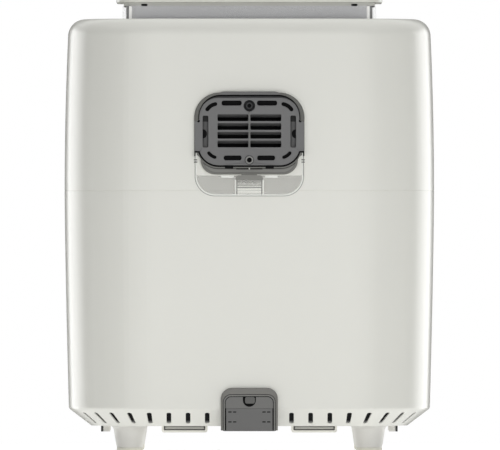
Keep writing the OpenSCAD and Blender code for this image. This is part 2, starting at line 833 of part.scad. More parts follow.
module cavity_liner() {
    color("#a9abad") difference() {
        translate([0, 0, liner_low]) linear_extrude(liner_top - liner_low) liner_outline(0);
        difference() {
            translate([0, 0, liner_low + liner_t])
                linear_extrude(liner_top - liner_low - 2 * liner_t) liner_outline(liner_t);
            translate([-body_w, liner_front - body_d + liner_t, 0]) cube([2 * body_w, body_d, body_top]);
        }
        translate([-body_w, liner_front - body_d, 0]) cube([2 * body_w, body_d, body_top]);
        slab(liner_front - 1, liner_front + liner_t + 1) mouth_outline();
        for (i = [0 : 2]) translate([0, liner_back, liner_top - 8 - 6 * i])
            cube([54, 10, 3], center = true);
        translate([0, fan_y, liner_top - 5]) cylinder(r = shaft_d / 2 + 2, h = 10);
        for (x = [-lead_x, lead_x]) translate([x, lead_y, liner_top - 5]) cylinder(d = lead_d + 0.4, h = 10);
        translate([steam_x, steam_y, liner_top - 5]) cylinder(d = 5.4, h = 10);
    }
}

module drawer_rails() {
    color("#b4b6b8") for (x = [-1, 1])
        translate([x * (pot_w / 2 - pot_r - 10) - 4, liner_front + 4, liner_low + liner_t])
        cube([8, liner_back - liner_front - 40, rail_h]);
}

module insulation_mat() {
    w = 2 * (liner_w / 2 - 12);
    color("#e4e1d8") difference() {
        translate([0, 0, liner_top]) linear_extrude(mat_t) intersection() {
            liner_outline(6);
            translate([-w / 2, liner_front]) square([w, body_d]);
        }
        translate([0, fan_y, liner_top - 1]) cylinder(r = 16, h = mat_t + 2);
        translate([0, lead_y, liner_top + 1]) cube([50, 22, 10], center = true);
        translate([steam_x, steam_y, liner_top - 1]) cylinder(d = 8, h = mat_t + 2);
    }
}

// A turn of the heater's tube round the fan's axis.
module heater_turn(r, start, sweep) {
    rotate([0, 0, start]) rotate_extrude(angle = sweep) translate([r, 0]) circle(d = heater_d, $fn = small_fn);
}

module heater_element() {
    inner_r = heater_r - 22;
    color("#4f4f50") translate([0, fan_y, heater_z]) {
        heater_turn(heater_r, -90 + gap_turn, 360 - 2 * gap_turn);
        heater_turn(inner_r, 0, 360);
        for (a = [35, 145]) rotate([0, 0, a]) translate([inner_r, 0, 0]) rotate([0, 90, 0])
            cylinder(d = heater_d - 1, h = heater_r - inner_r, $fn = small_fn);
        for (side = [-1, 1]) translate([side * lead_x, lead_y - fan_y, -heater_d / 2])
            cylinder(d = lead_d, h = liner_top + 12 - heater_z + heater_d / 2, $fn = small_fn);
    }
}

module convection_fan() {
    color("#9fa1a3") translate([0, fan_y, fan_low]) difference() {
        union() {
            translate([0, 0, fan_h]) cylinder(d = fan_d, h = 1.2);
            cylinder(d = 20, h = fan_h + 1.2);
            for (i = [0 : 7]) rotate([0, 0, i * 45]) translate([9, -0.6, 0])
                cube([fan_d / 2 - 11, 1.2, fan_h + 0.5]);
        }
        translate([0, 0, -1]) cylinder(d = shaft_d + 0.1, h = fan_h + 4);
    }
}

module motor_shaft() {
    color("#c7c9cb") translate([0, fan_y, fan_low - 4]) {
        cylinder(d = shaft_d, h = motor_top - 3 - fan_low + 4);
        cylinder(d = shaft_d + 5, h = 3.9);
    }
}

cooler_low = shield_top + 5;

module cooling_fan() {
    color("#3c3c3c") translate([0, fan_y, cooler_low]) difference() {
        union() {
            cylinder(d = 84, h = 1.4);
            cylinder(d = 18, h = 11);
            for (i = [0 : 8]) rotate([0, 0, i * 40]) translate([8, -0.7, 0.5]) cube([33, 1.4, 10]);
        }
        translate([0, 0, -1]) cylinder(d = shaft_d + 0.1, h = 14);
    }
}

module motor_bracket() {
    post_x = bracket_w / 2 - 6;
    air_hole_x = 24;
    color("#aeb0b2") translate([0, fan_y, 0]) {
        difference() {
            translate([0, 0, motor_low]) linear_extrude(bracket_t) rounded_rect(bracket_w, bracket_w, 12);
            translate([0, 0, motor_low - 1]) cylinder(r = 9, h = bracket_t + 2);
            for (i = [0 : 5]) rotate([0, 0, 30 + i * 60])
                translate([air_hole_x, 0, motor_low - 1]) cylinder(r = 5, h = 4);
        }
        for (x = [-post_x, post_x], y = [-post_x, post_x])
            translate([x, y, shield_top]) cylinder(d = 8, h = motor_low - shield_top);
    }
}

module motor() {
    low = motor_low + bracket_t;
    color("#5d6164") translate([0, fan_y, low]) difference() {
        cylinder(d = motor_d, h = motor_h);
        translate([0, 0, -1]) cylinder(d = shaft_d + 4, h = motor_h + 2);
        for (z = [0, motor_h - 5]) translate([0, 0, z == 0 ? -1 : z]) cylinder(d = shaft_d + 10, h = 6);
    }
}

module motor_bearings() {
    low = motor_low + bracket_t;
    color("#b08a4a") for (z = [0, motor_h - 5]) translate([0, fan_y, low + z]) difference() {
        cylinder(d = shaft_d + 10, h = 5);
        translate([0, 0, -1]) cylinder(d = shaft_d + 0.1, h = 7);
    }
}

// ---------- steam circuit and electronics ----------

pump_x = -(liner_w / 2 - 34);
pump_y = fan_y + 4;
pump_z = shield_top + 18;
boiler_x = liner_w / 2 - 36;

module water_pump() {
    color("#e8e8e2") {
        translate([pump_x, pump_y - 30, pump_z]) rotate([-90, 0, 0]) cylinder(d = 30, h = 60);
        translate([pump_x, pump_y - 38, pump_z]) rotate([-90, 0, 0]) cylinder(d = 8, h = 76);
        translate([pump_x - 15, pump_y - 20, shield_top]) cube([30, 40, pump_z - shield_top]);
    }
}

module steam_generator() {
    color("#b4b6b8") {
        translate([boiler_x - 26, fan_y - 30, shield_top]) cube([52, 80, 26]);
        translate([steam_x, steam_y, liner_top - 6]) cylinder(d = 5, h = mat_t + 7);
    }
}

// Silicone hoses: from the tank's spout socket to the pump, and from the pump to the boiler.
module water_hoses() {
    socket_low = body_top - well_depth - 2 - 10;
    hose_d = 8;
    elbow_d = hose_d + 3;
    run_y = pump_y - 84;
    color("#cfd2cf") {
        difference() {
            translate([spout_x, spout_y, socket_low]) cylinder(r = spout_r + 3.5, h = 10);
            translate([spout_x, spout_y, socket_low + 2]) cylinder(r = spout_r + 0.6, h = 12);
        }
        translate([spout_x, spout_y, pump_z]) cylinder(d = hose_d, h = socket_low + 1 - pump_z);
        translate([pump_x, spout_y, pump_z]) rotate([0, 90, 0]) cylinder(d = hose_d, h = spout_x - pump_x);
        translate([pump_x, pump_y + 38, pump_z]) rotate([-90, 0, 0])
            cylinder(d = hose_d, h = spout_y - pump_y - 38);
        translate([pump_x, run_y, pump_z]) rotate([-90, 0, 0]) cylinder(d = hose_d, h = pump_y - 38 - run_y);
        translate([pump_x, run_y, pump_z]) rotate([0, 90, 0]) cylinder(d = hose_d, h = boiler_x - pump_x);
        translate([boiler_x, run_y, pump_z]) rotate([-90, 0, 0]) cylinder(d = hose_d, h = fan_y - 30 - run_y);
        for (p = [[spout_x, spout_y], [pump_x, spout_y], [pump_x, run_y], [boiler_x, run_y]])
            translate([p[0], p[1], pump_z]) sphere(d = elbow_d, $fn = small_fn);
    }
}

module power_board() {
    wide = 120;
    deep = 54;
    y0 = split_y - 62;
    z0 = seam_z + 3.5;
    color("#2f6b45") {
        translate([-wide / 2, y0, z0 + 4]) cube([wide, deep, 1.6]);
        for (x = [6 - wide / 2, wide / 2 - 6], y = [6, deep - 6])
            translate([x, y0 + y, z0]) cylinder(d = 6, h = 4);
        translate([-48, y0 + 10, z0 + 5.6]) cube([22, 18, 16]);
        translate([-14, y0 + 12, z0 + 5.6]) cube([28, 24, 20]);
        for (x = [28, 44])
            translate([x, y0 + 24, z0 + 5.6]) cylinder(d = 11, h = 18);
    }
}

// ---------- drawer ----------

drawer_bottom = drawer_low;
front_profile = concat(
    wall_line(drawer_bottom, drawer_top, 0),
    [[body_r(drawer_top) - shell_wall, drawer_top]],
    [[0, drawer_top], [0, drawer_top - shell_wall]],
    reversed(wall_line(drawer_bottom + shell_wall, drawer_top - shell_wall, shell_wall)),
    [[0, drawer_bottom + shell_wall], [0, drawer_bottom]]
);

module drawer_front() {
    color("#dcdcd4") difference() {
        union() {
            corner_sweep(flat_x, flat_y + drawer_gap, front_profile, [1]);
            end_sweep(flat_x, flat_y + drawer_gap, front_profile, [1]);
        }
        slab(front_y - 8, front_y + 4 * shell_wall) translate([0, window_z])
            rounded_rect(window_w + 2 * part_gap, window_h + 2 * part_gap, 22 + part_gap);
        translate([-body_w, -body_d - body_d / 2, -1]) cube([2 * body_w, body_d, body_top]);
    }
}

module drawer_back() {
    inset = shell_wall + part_gap;
    inner = wall_line(drawer_bottom + inset, drawer_top - inset, inset);
    half = [for (p = inner) [flat_x + p[0], p[1]]];
    color("#8b8b88") difference() {
        slab(pot_front - 2.5, pot_front)
            polygon(concat(half, reversed([for (p = half) [-p[0], p[1]]])));
        slab(pot_front - 4, pot_front + 1) translate([0, window_z])
            rounded_rect(sleeve_w - 3, sleeve_h - 3, 10);
    }
}

module window_bezel() {
    color("#6a6a6a") difference() {
        slab(bezel_front, bezel_front + bezel_deep) translate([0, window_z])
            rounded_rect(window_w, window_h, 22);
        slab(bezel_front - 1, bezel_front + 4) translate([0, window_z])
            rounded_rect(window_w - 2 * window_frame + 6, window_h - 2 * window_frame + 6, 14);
        slab(bezel_front - 1, bezel_front + bezel_deep + 1) translate([0, window_z])
            rounded_rect(window_w - 2 * window_frame, window_h - 2 * window_frame, 11);
    }
}

module window_glass() {
    inset = window_frame - 3 + part_gap;
    color("#3a3a3a", 0.5) slab(bezel_front + 0.8, bezel_front + 4 - 0.1) translate([0, window_z])
        rounded_rect(window_w - 2 * inset, window_h - 2 * inset, 13.7);
}

module window_sleeve() {
    color("#5a5a5a") slab(bezel_front + bezel_deep, pot_front - 2.5) translate([0, window_z]) difference() {
        rounded_rect(sleeve_w, sleeve_h, 11);
        rounded_rect(sleeve_w - 3, sleeve_h - 3, 9.5);
    }
}

handle_back = -(flat_y + drawer_gap + body_r(handle_cz + handle_h / 2));
handle_face = front_y - handle_out;

module handle() {
    post = 17;
    deep = handle_back - handle_face;
    color("#dcdcd4") translate([0, 0, handle_cz - handle_h / 2]) linear_extrude(handle_h) difference() {
        translate([0, handle_back]) rounded_rect(handle_w, 2 * deep, 22);
        translate([0, handle_back]) rounded_rect(handle_w - 2 * post, 2 * (deep - handle_t), 12);
        translate([-handle_w, handle_back]) square([2 * handle_w, 2 * deep]);
    }
}

pot_d = pot_back - pot_front;
pot_y = (pot_back + pot_front) / 2;

module pot() {
    color("#3b3b3d") difference() {
        translate([0, pot_y, pot_low]) linear_extrude(pot_h) rounded_rect(pot_w, pot_d, pot_r);
        translate([0, pot_y, pot_low + pot_wall]) linear_extrude(pot_h)
            rounded_rect(pot_w - 2 * pot_wall, pot_d - 2 * pot_wall, pot_r - pot_wall);
        slab(pot_front - 1, pot_front + 4) translate([0, window_z])
            rounded_rect(sleeve_w - 3, sleeve_h - 3, 9.5);
    }
}

module pot_glass() {
    color("#555555", 0.4) slab(pot_front, pot_front + 3) translate([0, window_z])
        rounded_rect(sleeve_w - 3 - 2 * part_gap, sleeve_h - 3 - 2 * part_gap, 9.2);
}

crisper_w = pot_w - 2 * pot_wall - 8;
crisper_d = pot_d - 2 * pot_wall - 8;

module crisper_plate() {
    columns = 7;
    rows = 6;
    pitch_x = crisper_w * 0.128;
    pitch_y = crisper_d * 0.14;
    color("#434345") difference() {
        translate([0, pot_y, crisper_z]) linear_extrude(crisper_t)
            rounded_rect(crisper_w, crisper_d, pot_r - 6);
        for (i = [0 : columns - 1], j = [0 : rows - 1])
            translate([(i - (columns - 1) / 2) * pitch_x, pot_y + (j - (rows - 1) / 2) * pitch_y, crisper_z - 1])
                cylinder(r = i == 3 ? 6 : 5, h = crisper_t + 2, $fn = small_fn);
    }
}

module crisper_feet() {
    foot_x = crisper_w / 2 - pot_r * 0.45;
    foot_y = crisper_d / 2 - pot_r * 0.45;
    foot_low = pot_low + pot_wall + part_gap;
    color("#8c3b2f") for (x = [-1, 1], y = [-1, 1])
        translate([x * foot_x, pot_y + y * foot_y, foot_low])
            cylinder(d = 12, h = crisper_z - foot_low, $fn = small_fn);
}

// ---------- controls ----------

module control_fascia() {
    color("#2c2c2e") difference() {
        slab(fascia_front, fascia_front + fascia_t)
            translate([0, fascia_cz]) rounded_rect(fascia_w, fascia_h, 20);
        slab(fascia_front - 1, fascia_front + 1.2)
            translate([0, display_z]) rounded_rect(display_w, display_h, display_r);
        for (x = [-button_x, button_x]) slab(fascia_front - 1, fascia_front + fascia_t + 1)
            translate([x, knob_z]) circle(d = button_d + 2 * part_gap);
        slab(fascia_front - 1, fascia_front + fascia_t + 1) translate([0, knob_z]) circle(d = 12);
    }
}

module display_lens() {
    color("#1b1b1d") slab(fascia_front - 0.2, fascia_front + 1.1) translate([0, display_z])
        rounded_rect(display_w - 2 * part_gap, display_h - 2 * part_gap, display_r - part_gap);
}

module control_board() {
    color("#2f6b45") {
        slab(board_y, board_y + 1.6) translate([0, fascia_cz]) rounded_rect(board_w, board_h, 4);
        slab(fascia_front + fascia_t, board_y) for (x = [-1, 1], z = [-1, 1])
            translate([x * (board_w / 2 - 6), fascia_cz + z * (board_h / 2 - 6)]) circle(d = 6);
        slab(board_y - 7, board_y) translate([0, knob_z]) square([13, 13], center = true);
        slab(fascia_front - knob_out + 6, board_y - 7) translate([0, knob_z]) circle(d = 6);
        for (x = [-button_x, button_x]) slab(board_y - 4, board_y)
            translate([x, knob_z]) square([6, 6], center = true);
    }
}

module selector_knob() {
    color("#c9c9c4") difference() {
        union() {
            slab(fascia_front - knob_out, fascia_front - part_gap - 2)
                translate([0, knob_z]) circle(d = knob_d - 4);
            slab(fascia_front - part_gap - 3, fascia_front - part_gap)
                translate([0, knob_z]) circle(d = knob_d);
        }
        slab(fascia_front - knob_out + 5, fascia_front + 1) translate([0, knob_z]) circle(d = 6.12);
        slab(fascia_front - knob_out - 1, fascia_front - knob_out + 1) translate([0, knob_z + knob_d / 2 - 7])
            rounded_rect(2, 7, 0.9);
    }
}

module push_button(x) {
    stem_end = board_y - 4 - button_travel - part_gap;
    color("#c9c9c4") {
        slab(fascia_front - 2, fascia_front + fascia_t - 1) translate([x, knob_z]) circle(d = button_d);
        slab(fascia_front + fascia_t - 2, stem_end) translate([x, knob_z]) circle(d = 5);
    }
}

// ---------- what is drawn ----------

placed() upper_shell();
placed() lower_shell();
placed() base_plate();
placed() front_frame();
placed() front_shelf();
placed() leg(leg_cx, leg_cy);  // leg_rear_left
placed() leg(-leg_cx, leg_cy);  // leg_rear_right
placed() leg(leg_cx, -leg_cy);  // leg_front_left
placed() leg(-leg_cx, -leg_cy);  // leg_front_right
placed() pad(leg_cx, leg_cy);  // pad_rear_left
placed() pad(-leg_cx, leg_cy);  // pad_rear_right
placed() pad(leg_cx, -leg_cy);  // pad_front_left
placed() pad(-leg_cx, -leg_cy);  // pad_front_right
placed() cord_cleat(cleat_cx);  // cord_cleat_left
placed() cord_cleat(-cleat_cx);  // cord_cleat_right
placed() base_screws();
placed() vent_frame();
placed() vent_grille();
placed() vent_screws();
placed() exhaust_duct();
placed() drip_cup();
placed() cup_latch();
placed() outlet_housing();
placed() outlet_cover();
placed() cord_gland();
placed() cavity_liner();
placed() drawer_rails();
placed() insulation_mat();
placed() heater_element();
placed() convection_fan();
placed() motor_shaft();
placed() cooling_fan();
placed() motor_bracket();
placed() motor();
placed() motor_bearings();
placed() tank_well();
placed() water_tank();
placed() tank_lid();
placed() lid_gasket();
placed() lid_plug();
placed() water_pump();
placed() steam_generator();
placed() water_hoses();
placed() power_board();
placed() drawer_front();
placed() drawer_back();
placed() window_bezel();
placed() window_glass();
placed() window_sleeve();
placed() handle();
placed() pot();
placed() pot_glass();
placed() crisper_plate();
placed() crisper_feet();
placed() control_fascia();
placed() display_lens();
placed() control_board();
placed() selector_knob();
placed() push_button(-button_x);  // power_button
placed() push_button(button_x);  // steam_button
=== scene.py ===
"""Looks of the steam air fryer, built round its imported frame. Lengths are millimetres in the body's own frame
(x, y, height above the base plate's underside) until they are written to a mesh; P() turns them into the
frame's metres. Angles are degrees. Left is the appliance's own, at +x, and the front faces -y."""
import bpy
import bmesh
import math
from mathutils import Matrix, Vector


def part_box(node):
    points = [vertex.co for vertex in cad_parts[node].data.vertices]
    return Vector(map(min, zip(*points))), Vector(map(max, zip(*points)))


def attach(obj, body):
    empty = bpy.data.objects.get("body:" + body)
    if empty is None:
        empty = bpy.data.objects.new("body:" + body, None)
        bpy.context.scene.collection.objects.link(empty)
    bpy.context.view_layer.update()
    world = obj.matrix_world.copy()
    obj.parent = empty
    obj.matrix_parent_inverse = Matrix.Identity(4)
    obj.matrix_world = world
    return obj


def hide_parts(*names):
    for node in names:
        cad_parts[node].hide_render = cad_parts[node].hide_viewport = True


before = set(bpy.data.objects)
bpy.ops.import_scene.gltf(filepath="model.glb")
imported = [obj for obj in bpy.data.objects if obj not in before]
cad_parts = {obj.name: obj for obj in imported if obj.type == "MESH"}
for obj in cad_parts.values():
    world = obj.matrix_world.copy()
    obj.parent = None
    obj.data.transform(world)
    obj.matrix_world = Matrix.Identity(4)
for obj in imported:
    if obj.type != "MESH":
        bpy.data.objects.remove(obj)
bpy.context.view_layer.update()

# ---------- driving dimensions, as in the part's source ----------
BODY_W, BODY_D, BODY_H = 304.0, 330.0, 334.0
CORNER_R, BELLY_H, TOP_TAPER, BOTTOM_TAPER, EDGE_R = 78.0, 192.0, 3.5, 3.9, 14.0
CHAMFER_W, CHAMFER_H, SEAM_H, WALL, BASE_T = 18.5, 14.0, 193.5, 2.5, 2.5
FLAT_X, FLAT_Y = BODY_W / 2 - CORNER_R, BODY_D / 2 - CORNER_R
BACK_Y, FRONT_Y = BODY_D / 2, -BODY_D / 2
SLOT_COUNT, SLOT_FIRST, SLOT_PITCH, SLOT_W = 8, 34.5, 15.7, 3.8
SLOT_LOW, SLOT_HIGH = 0.155, 0.79
LEG_X, LEG_Y, LEG_H, PAD_H = 98.2, 105.0, 18.0, 4.5
CLEAT_X, CLEAT_BACK, CLEAT_W, CLEAT_D, CLEAT_H, CLEAT_RIM = 53.2, BACK_Y - 53, 37.6, 24.0, 5.6, 1.8
VENT_H, VENT_W, VENT_FACE = 241.5, 90.2, BACK_Y + 1.5
GRILLE_FACE = VENT_FACE + 1.5
CUP_W, CUP_LOW, CUP_BACK, CUP_FACE = 89.4, 188.3, BACK_Y + 0.3, BACK_Y + 17.3
CUP_RIM, CUP_ARM = 206.4, 224.9
OUTLET_W, OUTLET_TOP, OUTLET_LOW = 46.7, 31.5, -3.9
OUTLET_BACK = BACK_Y - BOTTOM_TAPER + 6
TANK_W, TANK_D, TANK_Y, TANK_R, WELL_GAP = 208.4, 120.0, 58.0, 12.0, 1.6
TANK_LOW, TANK_TOP, GASKET_T, LID_T, LID_OVER, PLUG_H = 298.3, 344.6, 2.7, 12.0, 5.0, 14.0
HANDLE_Z, HANDLE_W, HANDLE_H, HANDLE_T = 168.0, 144.0, 20.0, 14.0
HANDLE_FACE, HANDLE_BACK = FRONT_Y - 42, FRONT_Y - 0.57

# where the frame puts the base plate's underside and the body's middle
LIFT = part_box("leg_rear_left")[1][2] * 1000 - BASE_T
CENTRE_Y = (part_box("upper_shell")[0][1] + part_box("upper_shell")[1][1]) * 500
SIDES = (("left", 1), ("right", -1))


def P(x, y, h):
    """A point of the body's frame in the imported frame's metres."""
    return Vector((x, y + CENTRE_Y, h + LIFT)) / 1000


def body_r(h):
    """Radius of the body's upright corners at a height."""
    if h > BELLY_H:
        return CORNER_R - TOP_TAPER * ((h - BELLY_H) / (BODY_H - BELLY_H)) ** 2
    return CORNER_R - BOTTOM_TAPER * ((BELLY_H - h) / BELLY_H) ** 1.4


# ---------- points and outlines ----------
def spread(a, b, n):
    """n + 1 evenly spaced values from a to b."""
    return [a + (b - a) * i / n for i in range(n + 1)]


def span(middle, half):
    return (middle - half, middle + half)


def at(cx, cz, r, a):
    """The point at angle a on a circle."""
    return (cx + r * math.cos(math.radians(a)), cz + r * math.sin(math.radians(a)))


def arc(cx, cz, r, a0, a1, n):
    return [at(cx, cz, r, a) for a in spread(a0, a1, n)]


def mirrored(half):
    """Goes on from the end of a right half outline with its mirror image, back to the start."""
    return half + [(-x, z) for x, z in reversed(half)]


def bean(cx, cz, r, a0, a1, wide):
    """A curved slot with round ends, along an arc about (cx, cz)."""
    half, out = wide / 2, []
    sweep = 1 if a1 > a0 else -1
    for radius, start, stop, turn in ((r + half, a0, a1, 0), (r - half, a1, a0, 180)):
        out += arc(cx, cz, radius, start, stop, 8)
        out += arc(*at(cx, cz, r, stop), half, stop + turn, stop + turn + 180 * sweep, 6)[1:-1]
    return out


def rrect(w, h, r, cx=0.0, cz=0.0, n=7):
    """A rounded rectangle about (cx, cz)."""
    r = min(r, w / 2 - 0.001, h / 2 - 0.001)
    pts = []
    for sx, sz, a0 in ((1, 1, 0), (-1, 1, 90), (-1, -1, 180), (1, -1, 270)):
        pts += arc(sx * (w / 2 - r), sz * (h / 2 - r), r, a0, a0 + 90, n)
    return [(cx + x, cz + z) for x, z in pts]


def disc(d, cx, cz):
    return arc(cx, cz, d / 2, 0, 360, 40)[:-1]


def columns(hx, hy, corner=24, side=10, back=(), rear_corner=()):
    """Places round a rounded rectangle, counter-clockwise: (side, x, y, outward x, outward y). back adds some
    by their x on the back, and rear_corner by their turn round the rear corners."""
    corner_a = spread(0, 90, corner)
    rear = sorted(set(corner_a) | set(rear_corner))
    back_x = sorted(set(spread(-hx, hx, side)) | set(back) | {-b for b in back})
    out = [("right", hx, y, 1, 0) for y in spread(-hy, hy, side)]
    out += [("rear", hx, hy, *at(0, 0, 1, a)) for a in rear]
    out += [("back", x, hy, 0, 1) for x in reversed(back_x)]
    out += [("rear", -hx, hy, *at(0, 0, 1, 180 - a)) for a in reversed(rear)]
    out += [("left", -hx, y, -1, 0) for y in spread(hy, -hy, side)]
    out += [("front", -hx, -hy, *at(0, 0, 1, 180 + a)) for a in corner_a]
    out += [("front", x, -hy, 0, -1) for x in spread(-hx, hx, side)]
    out += [("front", hx, -hy, *at(0, 0, 1, 270 + a)) for a in corner_a]
    kept = []
    for c in out:
        if not kept or any(abs(a - b) > 1e-6 for a, b in zip(kept[-1][1:], c[1:])):
            kept.append(c)
    return kept


def loop(cols, r, h, cx=0.0, cy=0.0):
    """The ring at height h whose corners have radius r."""
    return [P(x + out_x * r + cx, y + out_y * r + cy, h) for _, x, y, out_x, out_y in cols]


# ---------- materials ----------
def linear(c):
    return c / 12.92 if c <= 0.04045 else ((c + 0.055) / 1.055) ** 2.4


def set_sockets(node, **values):
    """Sets a node's sockets; an underscore stands for a blank."""
    for key, value in values.items():
        node.inputs[key.replace("_", " ")].default_value = value
    return node


def material(name, shade, rough, bump=0.01, metal=0.0, vary=0.06, grain=900, mottle=0.03, **sockets):
    """A procedural finish in an sRGB shade: a fine grain, and slow changes in roughness and colour."""
    colour = [linear(level / 255) for level in shade]
    m = bpy.data.materials.new(name)
    m.use_nodes = True
    nodes, links = m.node_tree.nodes, m.node_tree.links
    shader = set_sockets(nodes["Principled BSDF"], Metallic=metal, Base_Color=(*colour, 1), **sockets)
    place = nodes.new("ShaderNodeTexCoord")
    slow = set_sockets(nodes.new("ShaderNodeTexNoise"), Scale=18, Detail=4)
    fine = set_sockets(nodes.new("ShaderNodeTexNoise"), Scale=grain, Detail=2)
    for noise in (slow, fine):
        links.new(place.outputs["Object"], noise.inputs["Vector"])
    low, high = rough - vary, rough + vary
    rough_map = set_sockets(nodes.new("ShaderNodeMapRange"), To_Min=low, To_Max=high)
    links.new(slow.outputs["Fac"], rough_map.inputs["Value"])
    links.new(rough_map.outputs["Result"], shader.inputs["Roughness"])
    tint = nodes.new("ShaderNodeMix")
    tint.data_type = "RGBA"
    paler = [min(1, c * (1 + mottle)) for c in colour]
    set_sockets(tint, A=[c * (1 - mottle) for c in colour] + [1], B=paler + [1])
    links.new(slow.outputs["Fac"], tint.inputs["Factor"])
    links.new(tint.outputs["Result"], shader.inputs["Base Color"])
    height = set_sockets(nodes.new("ShaderNodeBump"), Strength=bump, Distance=0.0004)
    links.new(fine.outputs["Fac"], height.inputs["Height"])
    links.new(height.outputs["Normal"], shader.inputs["Normal"])
    return m


# pale plastics
SHELL = material("shell_white", (226, 226, 219), 0.22, vary=0.03, bump=0.02, mottle=0.006)
BASE_WHITE = material("base_white", (227, 226, 221), 0.5, bump=0.05, mottle=0.01)
LEG_WHITE = material("leg_white", (217, 216, 211), 0.5, bump=0.05, mottle=0.01)
CREAM = material("cleat_cream", (238, 237, 229), 0.5, bump=0.04)
# a grey that paints the shade in the cord cleats' recesses
CLEAT_RECESS_SHADE = material("cleat_recess_shade", (186, 186, 180), 0.5, bump=0.04)
TRIM = material("trim_plastic", (196, 196, 190), 0.33, bump=0.02)
NECK = material("neck_grey", (232, 232, 236), 0.35, bump=0.02)
# painted light on the lid's neck: a dark reflection, and a highlight that glows
NECK_REFLECTION = material("neck_dark_reflection", (140, 140, 140), 0.4, bump=0.02)
GLINT = material("neck_glint", (246, 246, 242), 0.25, Emission_Strength=0.3)

# the greys of the vent, the cord outlet and the cup's cap, with lit and shaded copies and darks that paint
# shade
GREY = material("vent_plate_grey", (107, 107, 107), 0.5, bump=0.09)
FRAME_GREY = material("vent_frame_grey", (114, 114, 109), 0.42, bump=0.07)
GREY_LIGHT = material("outlet_grey", (108, 108, 106), 0.5, bump=0.07)
# a darker grey, which on the outlet cover's lower part is painted shade
GREY_LOW = material("cover_low_grey", (100, 100, 99), 0.5, bump=0.07)
SLOPE = material("outlet_slope_grey", (121, 120, 116), 0.5, bump=0.07)
RIDGE = material("outlet_ridge_grey", (122, 122, 119), 0.45, bump=0.06)
# the louvres' grey, darkened as painted shade deep in the vent
LOUVRE_SHADED = material("louvre_shaded_grey", (84, 84, 84), 0.55, bump=0.06)
# the hood's sides, darker as painted shade
HOOD_SIDE_SHADED = material("hood_side_shaded_grey", (91, 91, 87), 0.42, bump=0.07)
# the lip's foot darker as painted shade, and its roll lighter as a painted highlight
LIP_FOOT_SHADED = material("lip_foot_shaded_grey", (103, 103, 99), 0.42, bump=0.06)
LIP_HIGHLIGHT = material("lip_highlight_grey", (121, 121, 117), 0.42, bump=0.06)
CAP_GREY = material("cup_cap_grey", (126, 126, 121), 0.42, bump=0.07)
# boss grey, which on the cord cleats' recess edges is painted shade
BOSS = material("boss_grey", (140, 140, 137), 0.45, bump=0.05)
# a dark grey that paints shade: the pockets' floors and the low part of the intake slots
SHADE_GREY = material("painted_shade_grey", (78, 78, 78), 0.55, bump=0.06)
SHADE = material("hood_shade", (54, 54, 54), 0.6, bump=0.04)
SCREW_GREY = material("screw_recess_grey", (34, 34, 35), 0.6, bump=0.04)
STEP = material("pocket_shade", (34, 34, 34), 0.6, bump=0.04, Specular_IOR_Level=0.2)
DARK = material("dark_plastic", (52, 52, 54), 0.42, bump=0.06)
# black, mostly painted shade: in gaps, holes, slots and sockets, and behind the vent's openings
BLACK_AND_SHADE = material("black_and_painted_shade", (14, 14, 15), 0.7, bump=0.04, Specular_IOR_Level=0.1)

# clear plastics, and the painted light and shade on them that shows where they fold and end
CLEAR = material("clear_plastic", (196, 198, 198), 0.1, vary=0.05, Alpha=0.12, mottle=0.02)
# a grey tint on the cup's clear walls that paints the shade and refraction seen through them
CUP_WALL = material("cup_wall", (150, 149, 144), 0.16, vary=0.05, Alpha=0.17, mottle=0.02)
# white that paints the light caught in the cup's clear edges
CUP_EDGE = material("cup_edge", (240, 241, 236), 0.22, vary=0.05, mottle=0.01, Alpha=0.8)
TAB_CLEAR = material("tab_plastic", (214, 215, 210), 0.2, Alpha=0.02, mottle=0.02)
# grey lines that paint the dark edges of the clear plastic
CUP_LINE = material("cup_line", (124, 125, 120), 0.3, Alpha=0.9, mottle=0.02)
INNER_LINE = material("cup_inner_line", (150, 151, 146), 0.3, Alpha=0.3, mottle=0.02)
# painted shade, and painted light and dark lines, on the cup's tab
TAB_SHADE = material("tab_shade", (136, 137, 132), 0.3, Alpha=0.3, mottle=0.02)
FOLD_LINE = material("fold_line", (236, 236, 230), 0.3, Alpha=0.5, mottle=0.02)
RIB_LINE = material("rib_line", (120, 121, 117), 0.3, Alpha=0.8, mottle=0.02)

# glass, rubber, metals and what is inside
TINTED = material("tinted_glass", (34, 35, 37), 0.06, bump=0.004, vary=0.02, mottle=0.02, Alpha=0.55)
GLOSS = material("display_black", (14, 14, 16), 0.09, vary=0.03, bump=0.004, Coat_Weight=0.6)
SILICONE = material("silicone", (224, 222, 210), 0.6, bump=0.08)
GREY_RUBBER = material("grey_silicone", (95, 95, 93), 0.62, bump=0.08)
RED_RUBBER = material("red_silicone", (128, 58, 44), 0.6, bump=0.08)
GASKET = material("gasket_grey", (202, 202, 198), 0.6, bump=0.06)
COATED = material("nonstick", (58, 58, 60), 0.38, bump=0.25, grain=1400, metal=0.25)
SHEET = material("sheet_steel", (196, 198, 200), 0.34, metal=1.0, bump=0.03)
TURNED = material("turned_steel", (205, 206, 208), 0.24, metal=1.0, bump=0.03)
HEATER = material("heater_tube", (92, 86, 84), 0.45, metal=0.85, bump=0.12, mottle=0.12)
CAST = material("cast_aluminium", (178, 180, 182), 0.5, metal=0.9, bump=0.3)
MOTOR = material("motor_enamel", (98, 102, 106), 0.4, metal=0.4, bump=0.05)
BRONZE = material("bearing_bronze", (176, 138, 76), 0.38, metal=1.0, bump=0.15)
WOOL = material("ceramic_wool", (228, 224, 214), 0.9, bump=0.6, grain=500, mottle=0.06)
BOARD = material("circuit_board", (34, 92, 58), 0.34, bump=0.1, mottle=0.08)


# ---------- mesh builders ----------
def add(name, data):
    """Puts a new object in the scene."""
    obj = bpy.data.objects.new(name, data)
    bpy.context.scene.collection.objects.link(obj)
    return obj


